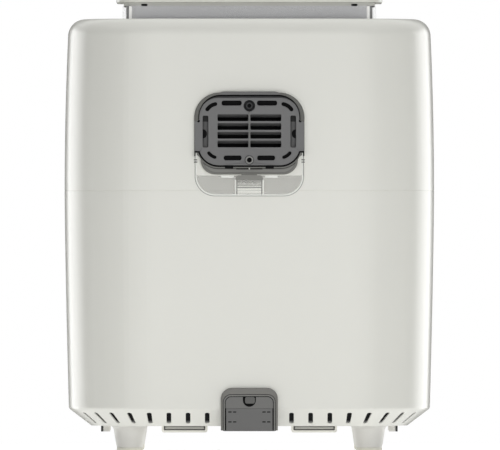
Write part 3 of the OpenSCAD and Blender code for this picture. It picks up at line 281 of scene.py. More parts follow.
def soften(obj, bevel, limit=35, segments=2):
    """Rounds the edges sharper than the limit by a radius, which may be 0, and evens the shading."""
    if bevel:
        edge = obj.modifiers.new("edge", "BEVEL")
        edge.width = bevel / 1000
        edge.segments = segments
        edge.limit_method = "ANGLE"
        edge.angle_limit = math.radians(limit)
        edge.use_clamp_overlap = True
        edge.miter_outer = "MITER_ARC"
    even = obj.modifiers.new("even", "WEIGHTED_NORMAL")
    even.keep_sharp = True
    even.weight = 80


def thicken(obj, t):
    """Gives an open skin its wall, inwards, before its edges are softened."""
    wall = obj.modifiers.new("wall", "SOLIDIFY")
    wall.thickness = t / 1000
    wall.use_even_offset = True
    obj.modifiers.move(len(obj.modifiers) - 1, 0)


def dress(name, mesh, mat, bevel, body="housing", node=None, slot=None, limit=35, segments=2, shadow=True):
    """Makes a piece of a mesh, with its finish, soft edges and the body that it moves with."""
    obj = add(name, mesh)
    obj.visible_shadow = obj.visible_diffuse = shadow
    bm = bmesh.new()
    bm.from_mesh(mesh)
    bmesh.ops.remove_doubles(bm, verts=bm.verts, dist=2e-6)
    bmesh.ops.recalc_face_normals(bm, faces=bm.faces)
    bm.to_mesh(mesh)
    bm.free()
    mesh.materials.append(mat)
    mesh.shade_smooth()
    soften(obj, bevel, limit, segments)
    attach(obj, body)
    if node:
        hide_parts(node)
    return obj


def piece(name, verts, faces, mat, **kw):
    mesh = bpy.data.meshes.new(name)
    mesh.from_pydata([tuple(v) for v in verts], [], faces)
    mesh.validate()
    return dress(name, mesh, mat, **kw)


def skin(loops, closed=True, skip=None, cap_low=False, cap_high=False):
    """Faces from each ring to the next. skip(ring, column) says None for a whole face, -1 for none, or which
    corner a triangle leaves out: 0 or 1 on this ring, and on the next 2, beyond 1, or 3, beyond 0."""
    n = len(loops[0])
    verts = [v for ring in loops for v in ring]
    faces = []
    for i in range(len(loops) - 1):
        for j in range(n if closed else n - 1):
            k = (j + 1) % n
            quad = [i * n + j, i * n + k, (i + 1) * n + k, (i + 1) * n + j]
            drop = skip(i, j) if skip else None
            if drop is None:
                faces.append(quad)
            elif drop >= 0:
                faces.append([v for c, v in enumerate(quad) if c != drop])
    if cap_low:
        faces.append(list(range(n))[::-1])
    if cap_high:
        faces.append(list(range((len(loops) - 1) * n, len(loops) * n)))
    return verts, faces


def slab(name, loops, a, b, mat, **kw):
    """A plate with holes: outline and holes in (x, height), from a to b in depth."""
    bm = bmesh.new()
    for pts in loops:
        ring = [bm.verts.new(P(x, a, z)) for x, z in pts]
        for i, v in enumerate(ring):
            bm.edges.new((v, ring[(i + 1) % len(ring)]))
    bmesh.ops.triangle_fill(bm, use_beauty=True, edges=bm.edges[:])
    far = bmesh.ops.extrude_face_region(bm, geom=bm.faces[:])
    far_verts = [g for g in far["geom"] if isinstance(g, bmesh.types.BMVert)]
    bmesh.ops.translate(bm, verts=far_verts, vec=P(0, b, 0) - P(0, a, 0))
    mesh = bpy.data.meshes.new(name)
    bm.to_mesh(mesh)
    bm.free()
    return dress(name, mesh, mat, **kw)


def lathe(name, profile, x, y, h, mat, axis="z", n=64, **kw):
    """A turned piece of (radius, along) points, about an upright axis or, with axis y, a level one."""
    rings = []
    for r, t in profile:
        circle = [(r * math.cos(2 * math.pi * i / n), r * math.sin(2 * math.pi * i / n)) for i in range(n)]
        rings.append([P(x + u, y + v, h + t) if axis == "z" else P(x + u, y + t, h + v) for u, v in circle])
    return piece(name, *skin(rings), mat, **kw)


def block(name, x, y, h, mat, **kw):
    """A box from its spans in x, y and height."""
    verts = [P(a, b, c) for a in x for b in y for c in h]
    faces = [(0, 1, 3, 2), (4, 6, 7, 5), (0, 4, 5, 1), (2, 3, 7, 6), (0, 2, 6, 4), (1, 5, 7, 3)]
    piece(name, verts, faces, mat, **kw)


def pair(name, near, far, y, h, mat, **kw):
    """A block from near to far on the left, and its mirror image; the name's {} becomes the side."""
    for side, sx in SIDES:
        block(name.format(side), sorted((sx * near, sx * far)), y, h, mat, **kw)


# ---------- shells ----------
FOOT_R = body_r(CHAMFER_H) - CHAMFER_W
MID_R = body_r(CHAMFER_H) - CHAMFER_W / 2
SLOTS = [SLOT_FIRST + i * SLOT_PITCH for i in range(SLOT_COUNT)]
# openings for the drawer, the outlet and the vent
DOOR_LOW, OUTLET_HOLE_TOP, VENT_HOLE_LOW, VENT_HOLE_TOP = 16.4, 23.5, 222, 258
OUTLET_HOLE_X, VENT_HOLE_X = 19.6, 30.0


def slot_edges():
    """Edges of the intake slots: x on the flat back, and turns round the rear corner."""
    flat, turned = [], []
    for s in SLOTS:
        for d in (-SLOT_W / 2, -SLOT_W / 2 + 1, SLOT_W / 2 - 1, SLOT_W / 2):
            if s <= FLAT_X:
                flat.append(s + d)
            else:
                turned.append(90 - math.degrees((s + d - FLAT_X) / MID_R))
    return flat, turned


FLAT_EDGES, TURNED_EDGES = slot_edges()
COLS = columns(FLAT_X, FLAT_Y, back=FLAT_EDGES + [OUTLET_HOLE_X, VENT_HOLE_X], rear_corner=TURNED_EDGES)


def strip(j):
    """The two columns at the sides of a strip of faces."""
    return COLS[j], COLS[(j + 1) % len(COLS)]


def at_front(j):
    return any(c[0] == "front" for c in strip(j))


def in_back(j, half):
    """Whether a strip is on the flat back, within a hole's half width."""
    return all(c[0] == "back" and abs(c[1]) <= half + 0.01 for c in strip(j))


def along(c):
    """How far round the chamfer a column is from the back's middle; what faces forward is out of reach."""
    side, x, _, out_x, out_y = c
    if side == "back":
        return abs(x)
    return FLAT_X + abs(math.atan2(out_x, out_y)) * MID_R if out_y > -1e-6 else 1e6


def slot_skip(i, j):
    """What skin() leaves out for the intake slots, whose corners are cut off."""
    ends = [along(c) for c in strip(j)]
    for s in SLOTS:
        if max(abs(e - s) for e in ends) < SLOT_W / 2 + 0.02:
            if i == 2 or abs(sum(ends) / 2 - s) < 1:
                return -1
            second_is_inner = abs(ends[1] - s) < abs(ends[0] - s)
            if i == 1:
                return 2 if second_is_inner else 3
            return 1 if second_is_inner else 0
    return None


def lower_shell():
    """The foot band with its slots goes all round, the wall stops at the drawer."""
    steps = [0, SLOT_LOW, SLOT_LOW + 0.045, SLOT_HIGH - 0.045, SLOT_HIGH, 0.93]
    rows = [(FOOT_R + CHAMFER_W * t, CHAMFER_H * t) for t in steps]
    rows += [(body_r(CHAMFER_H) - 0.55, CHAMFER_H - 0.15), (body_r(CHAMFER_H) - 0.12, CHAMFER_H + 0.5)]
    heights = (CHAMFER_H + 1.2, DOOR_LOW, OUTLET_HOLE_TOP, 30.5, *spread(38, SEAM_H - 0.8, 18))
    rows += [(body_r(h), h) for h in heights]

    def skip(i, j):
        if rows[i][1] >= DOOR_LOW and at_front(j):
            return -1
        if rows[i][1] < OUTLET_HOLE_TOP and in_back(j, OUTLET_HOLE_X):
            return -1
        return slot_skip(i, j) if 1 <= i <= 3 else None

    rings = [loop(COLS, r, h) for r, h in rows]
    shell = piece("lower_shell_skin", *skin(rings, skip=skip), SHELL, node="lower_shell",
                  slot="shell_plastic", bevel=0.45, limit=40)
    thicken(shell, WALL)


def slot_shades():
    """What shows through the intake slots: painted shade, a black sheet with a paler, dark grey foot."""
    for label, low, high, mat in (("low", 1.0, 4.4, SHADE_GREY), ("high", 4.4, 12.2, BLACK_AND_SHADE)):
        rings = [loop(COLS, FOOT_R + CHAMFER_W * h / CHAMFER_H - 1.6, h) for h in (low, high)]
        slot_sheet = piece(f"slot_shade_{label}", *skin(rings), mat, node="lower_shell", bevel=0)
        thicken(slot_sheet, 0.4)


def upper_shell():
    """Wall, rounded top edge, and a flat top with the tank's opening."""
    heights = [SEAM_H - 0.5, *spread(205, VENT_HOLE_LOW, 2), *spread(231, VENT_HOLE_TOP, 3)]
    rows = [(body_r(h), h) for h in heights + spread(268, BODY_H - EDGE_R, 6)]
    rows += arc(body_r(BODY_H - EDGE_R) - EDGE_R, BODY_H - EDGE_R, EDGE_R, 6, 90, 12)
    outer = [loop(COLS, r, h) for r, h in rows]
    share_x, share_y = (TANK_W / 2 - TANK_R) / FLAT_X, (TANK_D / 2 - TANK_R) / FLAT_Y
    well = [(side, x * share_x, y * share_y, *out) for side, x, y, *out in COLS]
    rim = loop(well, TANK_R + WELL_GAP, BODY_H, 0, TANK_Y)
    between = [a.lerp(b, 0.5) for a, b in zip(outer[-1], rim)]

    holed = [i for i, (_, h) in enumerate(rows) if VENT_HOLE_LOW <= h < VENT_HOLE_TOP]

    def skip(i, j):
        return -1 if i in holed and in_back(j, VENT_HOLE_X) else None

    shell = piece("upper_shell_skin", *skin(outer + [between, rim], skip=skip), SHELL, node="upper_shell",
                  slot="shell_plastic", bevel=0.45, limit=40)
    thicken(shell, WALL)


def seam_fill():
    """A strip behind the seam, so that it shows as a shallow groove."""
    rings = [loop(COLS, body_r(h) - 0.25, h) for h in (SEAM_H - 3.0, SEAM_H - 0.65, SEAM_H + 2.0)]
    fill = piece("seam_fill", *skin(rings, skip=lambda i, j: -1 if at_front(j) else None), SHELL,
                 node="lower_shell", bevel=0)
    thicken(fill, 0.5)


def drawer_front():
    """The two front corners and the flat between them, turned in above and below."""
    front = [c for c in columns(FLAT_X, FLAT_Y + 0.6) if c[0] == "front"]
    low, top, turned_in = DOOR_LOW + 0.6, SEAM_H - 0.9, 4
    rings = [loop(front, body_r(h), h) for h in spread(low, top, 22)]
    rings = [loop(front, turned_in, low)] + rings + [loop(front, turned_in, top)]
    door = piece("drawer_front_skin", *skin(rings, closed=False), SHELL, body="drawer", node="drawer_front",
                 slot="shell_plastic", bevel=0.6, limit=40)
    thicken(door, WALL)


lower_shell()
slot_shades()
upper_shell()
seam_fill()
drawer_front()


# ---------- legs and pads ----------
LEG_TOP_R, LEG_SPREAD, LEG_FLARE, PAD_R = 13.0, 3.6, 4.2, 10.85


def leg(end, side, x, y):
    flare = [(LEG_TOP_R + LEG_SPREAD * (1 - math.cos(math.radians(a))),
              LEG_H - LEG_FLARE + LEG_FLARE * math.sin(math.radians(a))) for a in spread(0, 90, 8)]
    lathe(f"leg_{end}_{side}_turned", [(0, 0.2), (PAD_R, 0.2), (PAD_R, 0), *flare, (0, LEG_H)], x, y, -LEG_H,
          LEG_WHITE, node=f"leg_{end}_{side}", slot="base_plastic", bevel=0.2, limit=50)
    pad = [(0, 0), (9.4, 0), (10.3, 0.35), (PAD_R, 1.4), (PAD_R, PAD_H), (0, PAD_H)]
    lathe(f"pad_{end}_{side}_moulded", pad, x, y, -LEG_H - PAD_H, SILICONE, node=f"pad_{end}_{side}",
          slot="silicone", bevel=0.2, limit=50)


for side, sx in SIDES:
    for end, sy in (("rear", 1), ("front", -1)):
        leg(end, side, sx * LEG_X, sy * LEG_Y)


# ---------- cord cleats, and painted dark reflections on the bosses ---
def cleat(side, sx):
    """A pale tray under the base, with a recessed face in a grey edge; the face's and the edge's greys paint
    the recess's shade.
    """
    name = f"cord_cleat_{side}"
    x, half, front = sx * CLEAT_X, CLEAT_W / 2, CLEAT_BACK - CLEAT_D
    corner = [(-half, 1.6 - CLEAT_H), (-half + 0.5, 0.5 - CLEAT_H), (-half + 1.6, -CLEAT_H)]
    outline = [(half, 0), (-half, 0)] + mirrored(corner)
    tray = [(x + dx, z) for dx, z in outline]
    face_w, face_h = CLEAT_W - 2 * CLEAT_RIM, CLEAT_H - CLEAT_RIM
    face = rrect(face_w, face_h, 0.7, x, -face_h / 2)
    slab(f"{name}_tray", [tray, face], front, CLEAT_BACK, CREAM, node=name, slot="base_plastic", bevel=0.3)
    # the edge and the face below are grey as the painted shade of the recess
    slab(f"{name}_edge", [face], front + 1, CLEAT_BACK - 1.0, BOSS, node=name, slot="base_plastic", bevel=0)
    slab(f"{name}_face", [rrect(face_w - 2.4, face_h - 1.7, 0.5, x, 0.1 - face_h / 2)], CLEAT_BACK - 1.2,
         CLEAT_BACK - 0.9, CLEAT_RECESS_SHADE, node=name, bevel=0)


for side, sx in SIDES:
    cleat(side, sx)
# a dark strip on each boss's outer side paints its dark reflection
pair("boss_dark_reflection_{}", 120.7, 122.4, (42.4, 45.2), (-5.6, 0), SHADE, bevel=0.2)


# ---------- exhaust vent: frame, hood and lip ----------
HOOD_TOP, HOOD_LOW, HOOD_OUT, HOOD_RISE, HOOD_FLAT = 274.0, 249.7, 7.0, 13.0, 20.5
HOOD_CORNER_R, HOOD_CORNER_Z = 20.6, 252.5
HOOD_X, HOOD_Z, HOOD_R = 23.3, 253.0, 18.35  # its inner edge
LIP_LOW, LIP_W, LIP_R = 206.1, 79.6, 12.0
GAP_X, GAP_Z = 25.2, 229.7  # middle of the arcs between grille and lip
FRAME_PART = dict(node="vent_frame", slot="grey_plastic")
FRAME_DARK = dict(node="vent_frame", bevel=0)
BEHIND_FACE = VENT_FACE - 0.5


def between_arcs(cx, cz, outer, inner):
    """A thin U between two arcs about (cx, cz) and their mirror images, each (radius, from, to, steps)."""
    return mirrored(arc(cx, cz, *outer)) + mirrored(arc(cx, cz, *inner))[::-1]


def vent_base():
    """Base of the frame, behind the grille and the lip."""
    w = VENT_W / 2
    outline = arc(21.2, HOOD_TOP - 1.1, 1.1, 90, 70, 2)
    outline += arc(w - HOOD_CORNER_R, HOOD_CORNER_Z - 0.4, HOOD_CORNER_R, 75, 0, 9)
    outline += [(w, 226), (w - 0.6, 223.2), (LIP_W / 2 + 1.2, 220.6)]
    outline += arc(LIP_W / 2 - LIP_R, LIP_LOW + LIP_R, LIP_R - 0.4, 0, -90, 7)
    slab("vent_frame_base", [mirrored(outline), rrect(82, 54.4, 14.5, 0, VENT_H)], VENT_FACE - 6, VENT_FACE,
         FRAME_GREY, **FRAME_PART, bevel=0.5)


def hood():
    """A band over the grille's top, cut back down its sides, which are a darker grey as painted shade."""
    outer = arc(VENT_W / 2 - HOOD_CORNER_R, HOOD_CORNER_Z, HOOD_CORNER_R, 0, 90, 22)
    inner = arc(HOOD_X, HOOD_Z, HOOD_R, 0, 90, 22)

    def flipped(pairs):
        return [((-ox, oz), (-ix, iz)) for (ox, oz), (ix, iz) in reversed(pairs)]

    left = [((VENT_W / 2, HOOD_LOW), (HOOD_X + HOOD_R, HOOD_LOW))] + list(zip(outer, inner))
    top = left[-2:] + [((HOOD_FLAT, HOOD_TOP), (HOOD_FLAT, HOOD_Z + HOOD_R))]
    parts = (("top", top + flipped(top), GREY_LOW, 0.04), ("left", left, HOOD_SIDE_SHADED, 0),
             ("right", flipped(left), HOOD_SIDE_SHADED, 0))
    back = VENT_FACE - 0.3
    for label, pairs, mat, lift in parts:
        rings = []
        for (ox, oz), (ix, iz) in pairs:
            face = back + HOOD_OUT * min(1, 0.25 + (oz - HOOD_LOW) / HOOD_RISE) + lift + 1.8
            rings.append([P(ox, back, oz), P(ox, face, oz), P(ix, face, iz), P(ix, back, iz)])
        piece(f"vent_hood_{label}", *skin(rings, cap_low=True, cap_high=True), mat, **FRAME_PART, bevel=0.7,
              limit=45, segments=3, shadow=False)


def hood_shade():
    """A dark line down to the arm dots and a dark step in its corners, both thickest in the middle."""
    shades = (("line", HOOD_R, 0, BLACK_AND_SHADE, 2.2, 0.55, 0.4), ("step", HOOD_R - 0.9, 40, SHADE, 1.9, 0.1, 1.4))
    for label, r, low_a, mat, lift, thin, more in shades:
        outside, inside = [], []
        if label == "line":
            outside.append((HOOD_X + r, HOOD_LOW + 1.5))
            inside.append((HOOD_X + r - thin, HOOD_LOW + 1.5))
        for a in spread(low_a, 90, 14):
            part = math.sin(math.radians((a - low_a) / (90 - low_a) * 90)) ** 2
            outside.append(at(HOOD_X, HOOD_Z, r, a))
            inside.append(at(HOOD_X, HOOD_Z, r - thin - more * part, a))
        slab(f"hood_{label}", [mirrored(outside) + mirrored(inside)[::-1]], BEHIND_FACE, VENT_FACE + lift,
             mat, **FRAME_DARK)


def drip_lip():
    """The lip under the grille: painted shade in its groove, its foot and the dark gap above it, and a painted
    highlight on its rolled edge.
    """
    lip = arc(GAP_X, GAP_Z, 17.3, -90, -35, 8) + arc(LIP_W / 2 - LIP_R, LIP_LOW + LIP_R, LIP_R, 0, -90, 9)
    left = [(-x, z) for x, z in reversed(lip)]
    slab("vent_lip", [lip + [(0, LIP_LOW)] + left + [(0, 212.4)]], VENT_FACE - 1, GRILLE_FACE + 0.6,
         FRAME_GREY, **FRAME_PART, bevel=0.9, segments=3)
    groove = between_arcs(GAP_X, GAP_Z, (18.45, -48, -90, 9), (18.95, -48, -90, 9))
    slab("lip_groove", [groove], BEHIND_FACE, GRILLE_FACE + 0.66, SHADE, **FRAME_DARK)
    roll_x, roll_z, roll_r = LIP_W / 2 - LIP_R - 0.6, LIP_LOW + LIP_R + 0.3, LIP_R - 0.4
    roll = arc(GAP_X, GAP_Z, 19.5, -90, -42, 8) + arc(roll_x, roll_z, roll_r, 0, -90, 9)
    slab("vent_lip_roll", [mirrored(roll)], GRILLE_FACE, GRILLE_FACE + 1.1, LIP_HIGHLIGHT, **FRAME_PART,
         bevel=0.8, segments=3)
    foot = between_arcs(roll_x, roll_z, (roll_r + 0.1, -20, -90, 8), (roll_r - 1.7, -20, -90, 8))
    slab("vent_lip_foot_shade", [foot], GRILLE_FACE, GRILLE_FACE + 1.15, LIP_FOOT_SHADED, **FRAME_PART, bevel=0.5,
         segments=3)
    gap = between_arcs(GAP_X, GAP_Z, (15.6, -15, -90, 12), (17.5, -18, -90, 12))
    slab("vent_gap", [gap], VENT_FACE - 0.2, VENT_FACE + 0.35, BLACK_AND_SHADE, **FRAME_DARK)


def hooks():
    """Painted shade: the black ends of the gap, and the black dots where the hood's arms end."""
    back, out, hook = VENT_FACE - 0.4, VENT_W / 2 - 0.1, dict(node="vent_frame", bevel=0.2)
    pair("hook_top_{}", 40.6, out, (back, GRILLE_FACE + 0.1), (224.1, 225.3), BLACK_AND_SHADE, **hook)
    pair("hook_side_{}", out - 1, out, (back, CUP_BACK + 5.6), (221.0, 224.4), BLACK_AND_SHADE, **hook)
    for side, sx in SIDES:
        lathe(f"arm_dot_{side}", [(1.15, -0.5), (1.15, 0.12), (0, 0.12)], sx * 41.6, GRILLE_FACE,
              HOOD_LOW + 0.2, BLACK_AND_SHADE, axis="y", n=20, **FRAME_DARK)


def lip_marks():
    """Notches, a slit, a bridge and a pale tick on the lip; the notches and the slit are black painted shade.
    """
    pair("lip_notch_{}", 13.2, 20.0, (BEHIND_FACE, GRILLE_FACE + 0.75), (210.9, 213.2), BLACK_AND_SHADE,
         node="vent_frame", bevel=0.2)
    marks = (("slit", 10.7, BEHIND_FACE, 0.72, (210.3, 211.3), BLACK_AND_SHADE, 0.1),
             ("bridge", 6.5, BEHIND_FACE, 1.0, (205.4, 207.6), FRAME_GREY, 0.5),
             ("tick", 0.5, GRILLE_FACE, 0.9, (209.3, 211.6), TRIM, 0.1))
    for label, half, back, lift, h, mat, bevel in marks:
        block(f"lip_{label}", span(0, half), (back, GRILLE_FACE + lift), h, mat, node="vent_frame",
              bevel=bevel)


vent_base()
hood()
hood_shade()
drip_lip()
hooks()
lip_marks()


# ---------- exhaust vent: grille and screws ----------
ROW_PITCH, ROW_COUNT, ROW_TOP = 7.15, 4, 252.6
OPENING_X, OPENING_W, OPENING_H = 13.45, 25.1, 5.5
POCKET_X, POCKET_W, POCKET_H = 35.9, 4.5, 26.0
SCREW_TOP_Z, SCREW_LOW_Z = 262.4, 218.0
GRILLE_PART = dict(node="vent_grille", slot="grey_plastic")
GRILLE_DARK = dict(node="vent_grille", bevel=0)


def grille_plate():
    """The plate with all its openings, and a black sheet behind it as painted shade."""
    half = arc(26.4, 253.6, 15.4, 90, 10, 9) + [(41.8, 250.6), (44.7, 249.2), (44.7, 225.4), (41.2, 225.2)]
    half += arc(GAP_X, GAP_Z, 16.1, -17, -90, 10)
    holes = []
    for sx in (-1, 1):
        for row in range(ROW_COUNT):
            holes.append(rrect(OPENING_W, OPENING_H, 0.7, sx * OPENING_X, ROW_TOP - ROW_PITCH * row, n=2))
        holes += [rrect(16.4, 4.0, 1.7, sx * 14.5, 264.6), rrect(14.5, 3.9, 1.6, sx * 13.7, 219.7)]
        for b in (bean(25.8, 253.6, 10.4, 34, 79, 3.1), bean(GAP_X, GAP_Z, 9.9, -72, -37, 2.7)):
            holes.append([(sx * x, z) for x, z in b])
        holes.append(rrect(POCKET_W, POCKET_H, 0.9, sx * POCKET_X, 241.3, n=3))
    holes += [disc(9.4, 0, SCREW_TOP_Z), disc(4.0, 0, SCREW_LOW_Z)]
    outline = mirrored(half) + [(0, 269)]
    slab("grille_plate", [outline] + holes, VENT_FACE, GRILLE_FACE, GREY, **GRILLE_PART, bevel=0.28)
    slab("grille_dark", [rrect(84, 56.4, 15, 0, VENT_H), rrect(54, 29, 1, 0, VENT_H + 0.4)], VENT_FACE - 1.4,
         VENT_FACE - 1.0, BLACK_AND_SHADE, **GRILLE_DARK)


def louvres():
    """They slope in and down from the top of each opening, on both sides of a rib; their grey is darkened as
    painted shade.
    """
    front, back = GRILLE_FACE - 0.35, VENT_FACE - 5
    for row in range(ROW_COUNT + 1):
        z = ROW_TOP + 2.75 - ROW_PITCH * row
        section = ((front, z + 1.5), (front, z + 0.05), (back, z - 2.6), (back, z - 1.2))
        rings = [[P(x, y, h) for y, h in section] for x in span(0, 26.6)]
        bar = skin(rings, cap_low=True, cap_high=True)
        piece(f"louvre_{row + 1}", *bar, LOUVRE_SHADED, **GRILLE_PART, bevel=0.2)
    block("louvre_rib", span(0, 0.55), (VENT_FACE - 8, GRILLE_FACE + 0.45), (227.5, 257.2), GREY_LIGHT,
          node="vent_grille", bevel=0.25)


def pockets():
    """Blind side pockets in painted shade, each with a dark grey floor, a dark half-round hole and a shaded
    step at the top.
    """
    wide = span(POCKET_X, 2.7)
    pair("pocket_floor_{}", *wide, (VENT_FACE - 3, VENT_FACE - 0.8), (227.5, 255.0), SHADE_GREY, **GRILLE_DARK)
    pair("pocket_step_{}", *wide, (VENT_FACE - 0.9, VENT_FACE - 0.7), (249.4, 255.0), STEP, **GRILLE_DARK)
    for side, sx in SIDES:
        half_disc = [(sx * (38.15 - 3.5 * u), 239.4 + 3.7 * v) for u, v in arc(0, 0, 1, -90, 90, 12)]
        slab(f"pocket_hole_{side}", [half_disc], VENT_FACE - 0.9, VENT_FACE - 0.6, BLACK_AND_SHADE, **GRILLE_DARK)


def vent_screws():
    """One screw in a recess, and one in a raised boss; a profile counts outwards from the grille's face."""
    def turned(name, profile, z, mat, node="vent_screws", bevel=0, n=64):
        lathe(name, profile, 0, GRILLE_FACE, z, mat, axis="y", n=n, node=node, bevel=bevel)

    head = [(4.7, -3.5), (4.7, -1.9), (3.7, -1.9), (3.5, -0.8), (3.0, -0.45), (1.6, -0.45), (1.3, -1.6),
            (0, -1.6)]
    turned("vent_screw_top", head, SCREW_TOP_Z, SCREW_GREY, bevel=0.12)
    # the black ring and sockets paint the shade in the screws' groove and sockets
    for label, outer_r, inner_r in (("ring", 3.3, 2.9), ("socket", 1.5, 0)):
        flat = [(outer_r, -0.6), (outer_r, -0.35), (inner_r, -0.35), (inner_r, -0.6)]
        turned(f"vent_screw_{label}", flat, SCREW_TOP_Z, BLACK_AND_SHADE, n=32)
    socket = [(3.6, -3), (3.6, -2.6), (1.9, -2.6), (1.9, -2.9), (0, -2.9)]
    turned("vent_screw_low", socket, SCREW_LOW_Z, BLACK_AND_SHADE)
    edge = [(3.2, -0.2), (3.2, 0.12), (3.8, 0.12), (3.8, -0.2)]
    turned("screw_boss_edge", edge, SCREW_LOW_Z, DARK, node="vent_grille")
    boss = [(1.95, -0.6), (2.05, 0.3), (2.4, 0.55), (2.9, 0.55), (3.3, 0.1), (3.3, -0.4)]
    turned("screw_boss_low", boss, SCREW_LOW_Z, BOSS, node="vent_grille", bevel=0.15)


def duct_dark():
    """A black sheet behind the openings, deep in the duct, as painted shade."""
    block("duct_dark", span(0, 38), (VENT_FACE - 16, VENT_FACE - 14), (216, 268), BLACK_AND_SHADE, **GRILLE_DARK)


grille_plate()
louvres()
pockets()
duct_dark()
vent_screws()


# ---------- drip cup ----------
CUP_CORNER_R, CUP_EDGE_H = 16.5, CUP_RIM - 0.6
TAB_X, TAB_TOP = 10.3, 199.4
CUP = dict(body="cup", node="drip_cup", slot="clear_plastic", shadow=False)


def u_outline(inset, top):
    """The cup's U seen from behind, inset from its outside and open at the top."""
    w, low, r = CUP_W / 2 - inset, CUP_LOW + inset, CUP_CORNER_R - inset
    return mirrored([(w, top)] + arc(w - r, low + r, r, 0, -90, 12))


def u_band(name, outer, inner, top, a, b, mat, **kw):
    slab(name, [u_outline(outer, top) + u_outline(inner, top)[::-1]], a, b, mat, **CUP, **kw)


def cup_bands():
    """The U-shaped band with its edge line, a painted highlight and a painted dark edge: full height at the
    back, level with the rim in front.
    """
    high = CUP_ARM - 0.8
    u_band("cup_band_back", 0.5, 1.7, high, CUP_BACK, CUP_BACK + 4.5, CUP_EDGE, bevel=0.6, segments=3)
    u_band("cup_band", 0.5, 1.7, CUP_EDGE_H, CUP_BACK + 4.5, CUP_FACE, CUP_EDGE, bevel=0.8, segments=3)
    # grey lines that paint the clear plastic's dark outer and inner edges
    u_band("cup_edge_line", 0, 0.62, high, CUP_BACK, CUP_BACK + 5, CUP_LINE, bevel=0.1)
    u_band("cup_edge_front", 0, 0.62, CUP_EDGE_H, CUP_BACK + 5, CUP_FACE - 0.6, CUP_LINE, bevel=0.1)
    u_band("cup_inner_line", 1.75, 2.15, CUP_EDGE_H, CUP_FACE - 2.4, CUP_FACE - 0.8, INNER_LINE, bevel=0.1)


def cup_walls():
    """Walls that are cut out behind the finger tab, and the tab's own thin plate; the walls' grey tint paints
    the shade and refraction seen through them.
    """
    inset = 2.2
    for label, y in (("back", CUP_BACK + 0.2), ("front", CUP_FACE - 2.4)):
        face = u_outline(inset, CUP_RIM - 1.1)
        cut = [q for q in face if q[0] > TAB_X] + mirrored([(TAB_X, CUP_LOW + inset), (TAB_X, TAB_TOP)])
        cut += [q for q in face if q[0] < -TAB_X]
        slab(f"cup_{label}_wall", [cut], y, y + 1.7, CUP_WALL, bevel=0.2, **CUP)
    plate = mirrored([(TAB_X - 0.1, CUP_LOW + 1.4), (TAB_X - 0.1, TAB_TOP)])
    slab("tab_plate", [plate], CUP_FACE - 1.6, CUP_FACE - 0.9, TAB_CLEAR, bevel=0.2, **CUP)


def cup_details():
    """Ribs and rims beside the tab, ticks on the arms, glints on the rim, the tab's fold lines and a band above
    them; all but the ticks are painted light and shade.
    """
    # the ribs' dark lines and the rims' white paint light on the tab's clear edges
    for label, x, half, mat in (("rib", 10.1, 0.375, RIB_LINE), ("rim", 11.3, 0.45, CUP_EDGE)):
        pair(f"tab_{label}_{{}}", *span(x, half), (CUP_FACE - 1.7, CUP_FACE - 0.1), (CUP_LOW + 0.6, 201.9),
             mat, bevel=0.15, **CUP)
    for i, h in enumerate((216.3, 218.1)):
        pair(f"arm_tick_{{}}_{i}", 42.6, CUP_W / 2 + 0.7, (CUP_BACK + 3.5, CUP_BACK + 5.6), span(h, 0.38),
             STEP, bevel=0.1, **CUP)
    pair("rim_glint_{}", 12.6, 23.2, (CUP_FACE - 1.2, CUP_FACE - 0.3), (203.4, 205.2), CUP_EDGE, bevel=0.5,
         **CUP)
    # a painted dark fold line, a painted light line, and a band of painted shade above them
    folds = ((195.4, 0.4, RIB_LINE), (193.1, 0.2, FOLD_LINE), (199.0, 2.6, TAB_SHADE))
    for i, (h, half, mat) in enumerate(folds):
        block(f"tab_fold_{i}", span(0, 9.7), (CUP_FACE - 1.2, CUP_FACE - 0.5), span(h, half), mat, bevel=0.1,
              **CUP)


def cup_cap():
    """The grey finger grip on the rim, with round upper corners."""
    cap = [(11.1, 201.7)] + arc(8.6, 203.1, 2.5, 0, 90, 6)
    slab("cup_cap", [mirrored(cap)], CUP_FACE - 0.8, CUP_FACE + 1.6, CAP_GREY, body="cup", node="cup_latch",
         slot="grey_plastic", bevel=0.7, segments=3)


cup_bands()
cup_walls()
cup_details()
cup_cap()


# ---------- cord outlet ----------
OUTLET_EDGE = OUTLET_W / 2
OUTLET_BED = OUTLET_BACK - 3.2
OUTLET_FOOT = OUTLET_LOW + 0.6
SLOPE_IN = (OUTLET_EDGE - 1.8, OUTLET_TOP - 5.2, 6.5)
RIDGE_OUT = (OUTLET_EDGE - 2.15, OUTLET_TOP - 5.55, 6.2)
RIDGE_IN = (OUTLET_EDGE - 3.4, OUTLET_TOP - 6.8, 5.2)
COVER_X, COVER_TOP, COVER_R, COVER_FOLD = RIDGE_IN[0] - 0.45, RIDGE_IN[1] - 0.5, 4.8, 14.8
NOTCH_R, NOTCH_Z = 5.3, 21.4
OUTLET_PART = dict(node="outlet_housing", slot="grey_plastic")
COVER_PART = dict(node="outlet_cover", slot="grey_plastic")


def arch(half_w, top, r):
    """An arch on the outlet's foot line, with corners of radius r."""
    return mirrored([(half_w, OUTLET_FOOT)] + arc(half_w - r, top - r, r, 0, 90, 8))


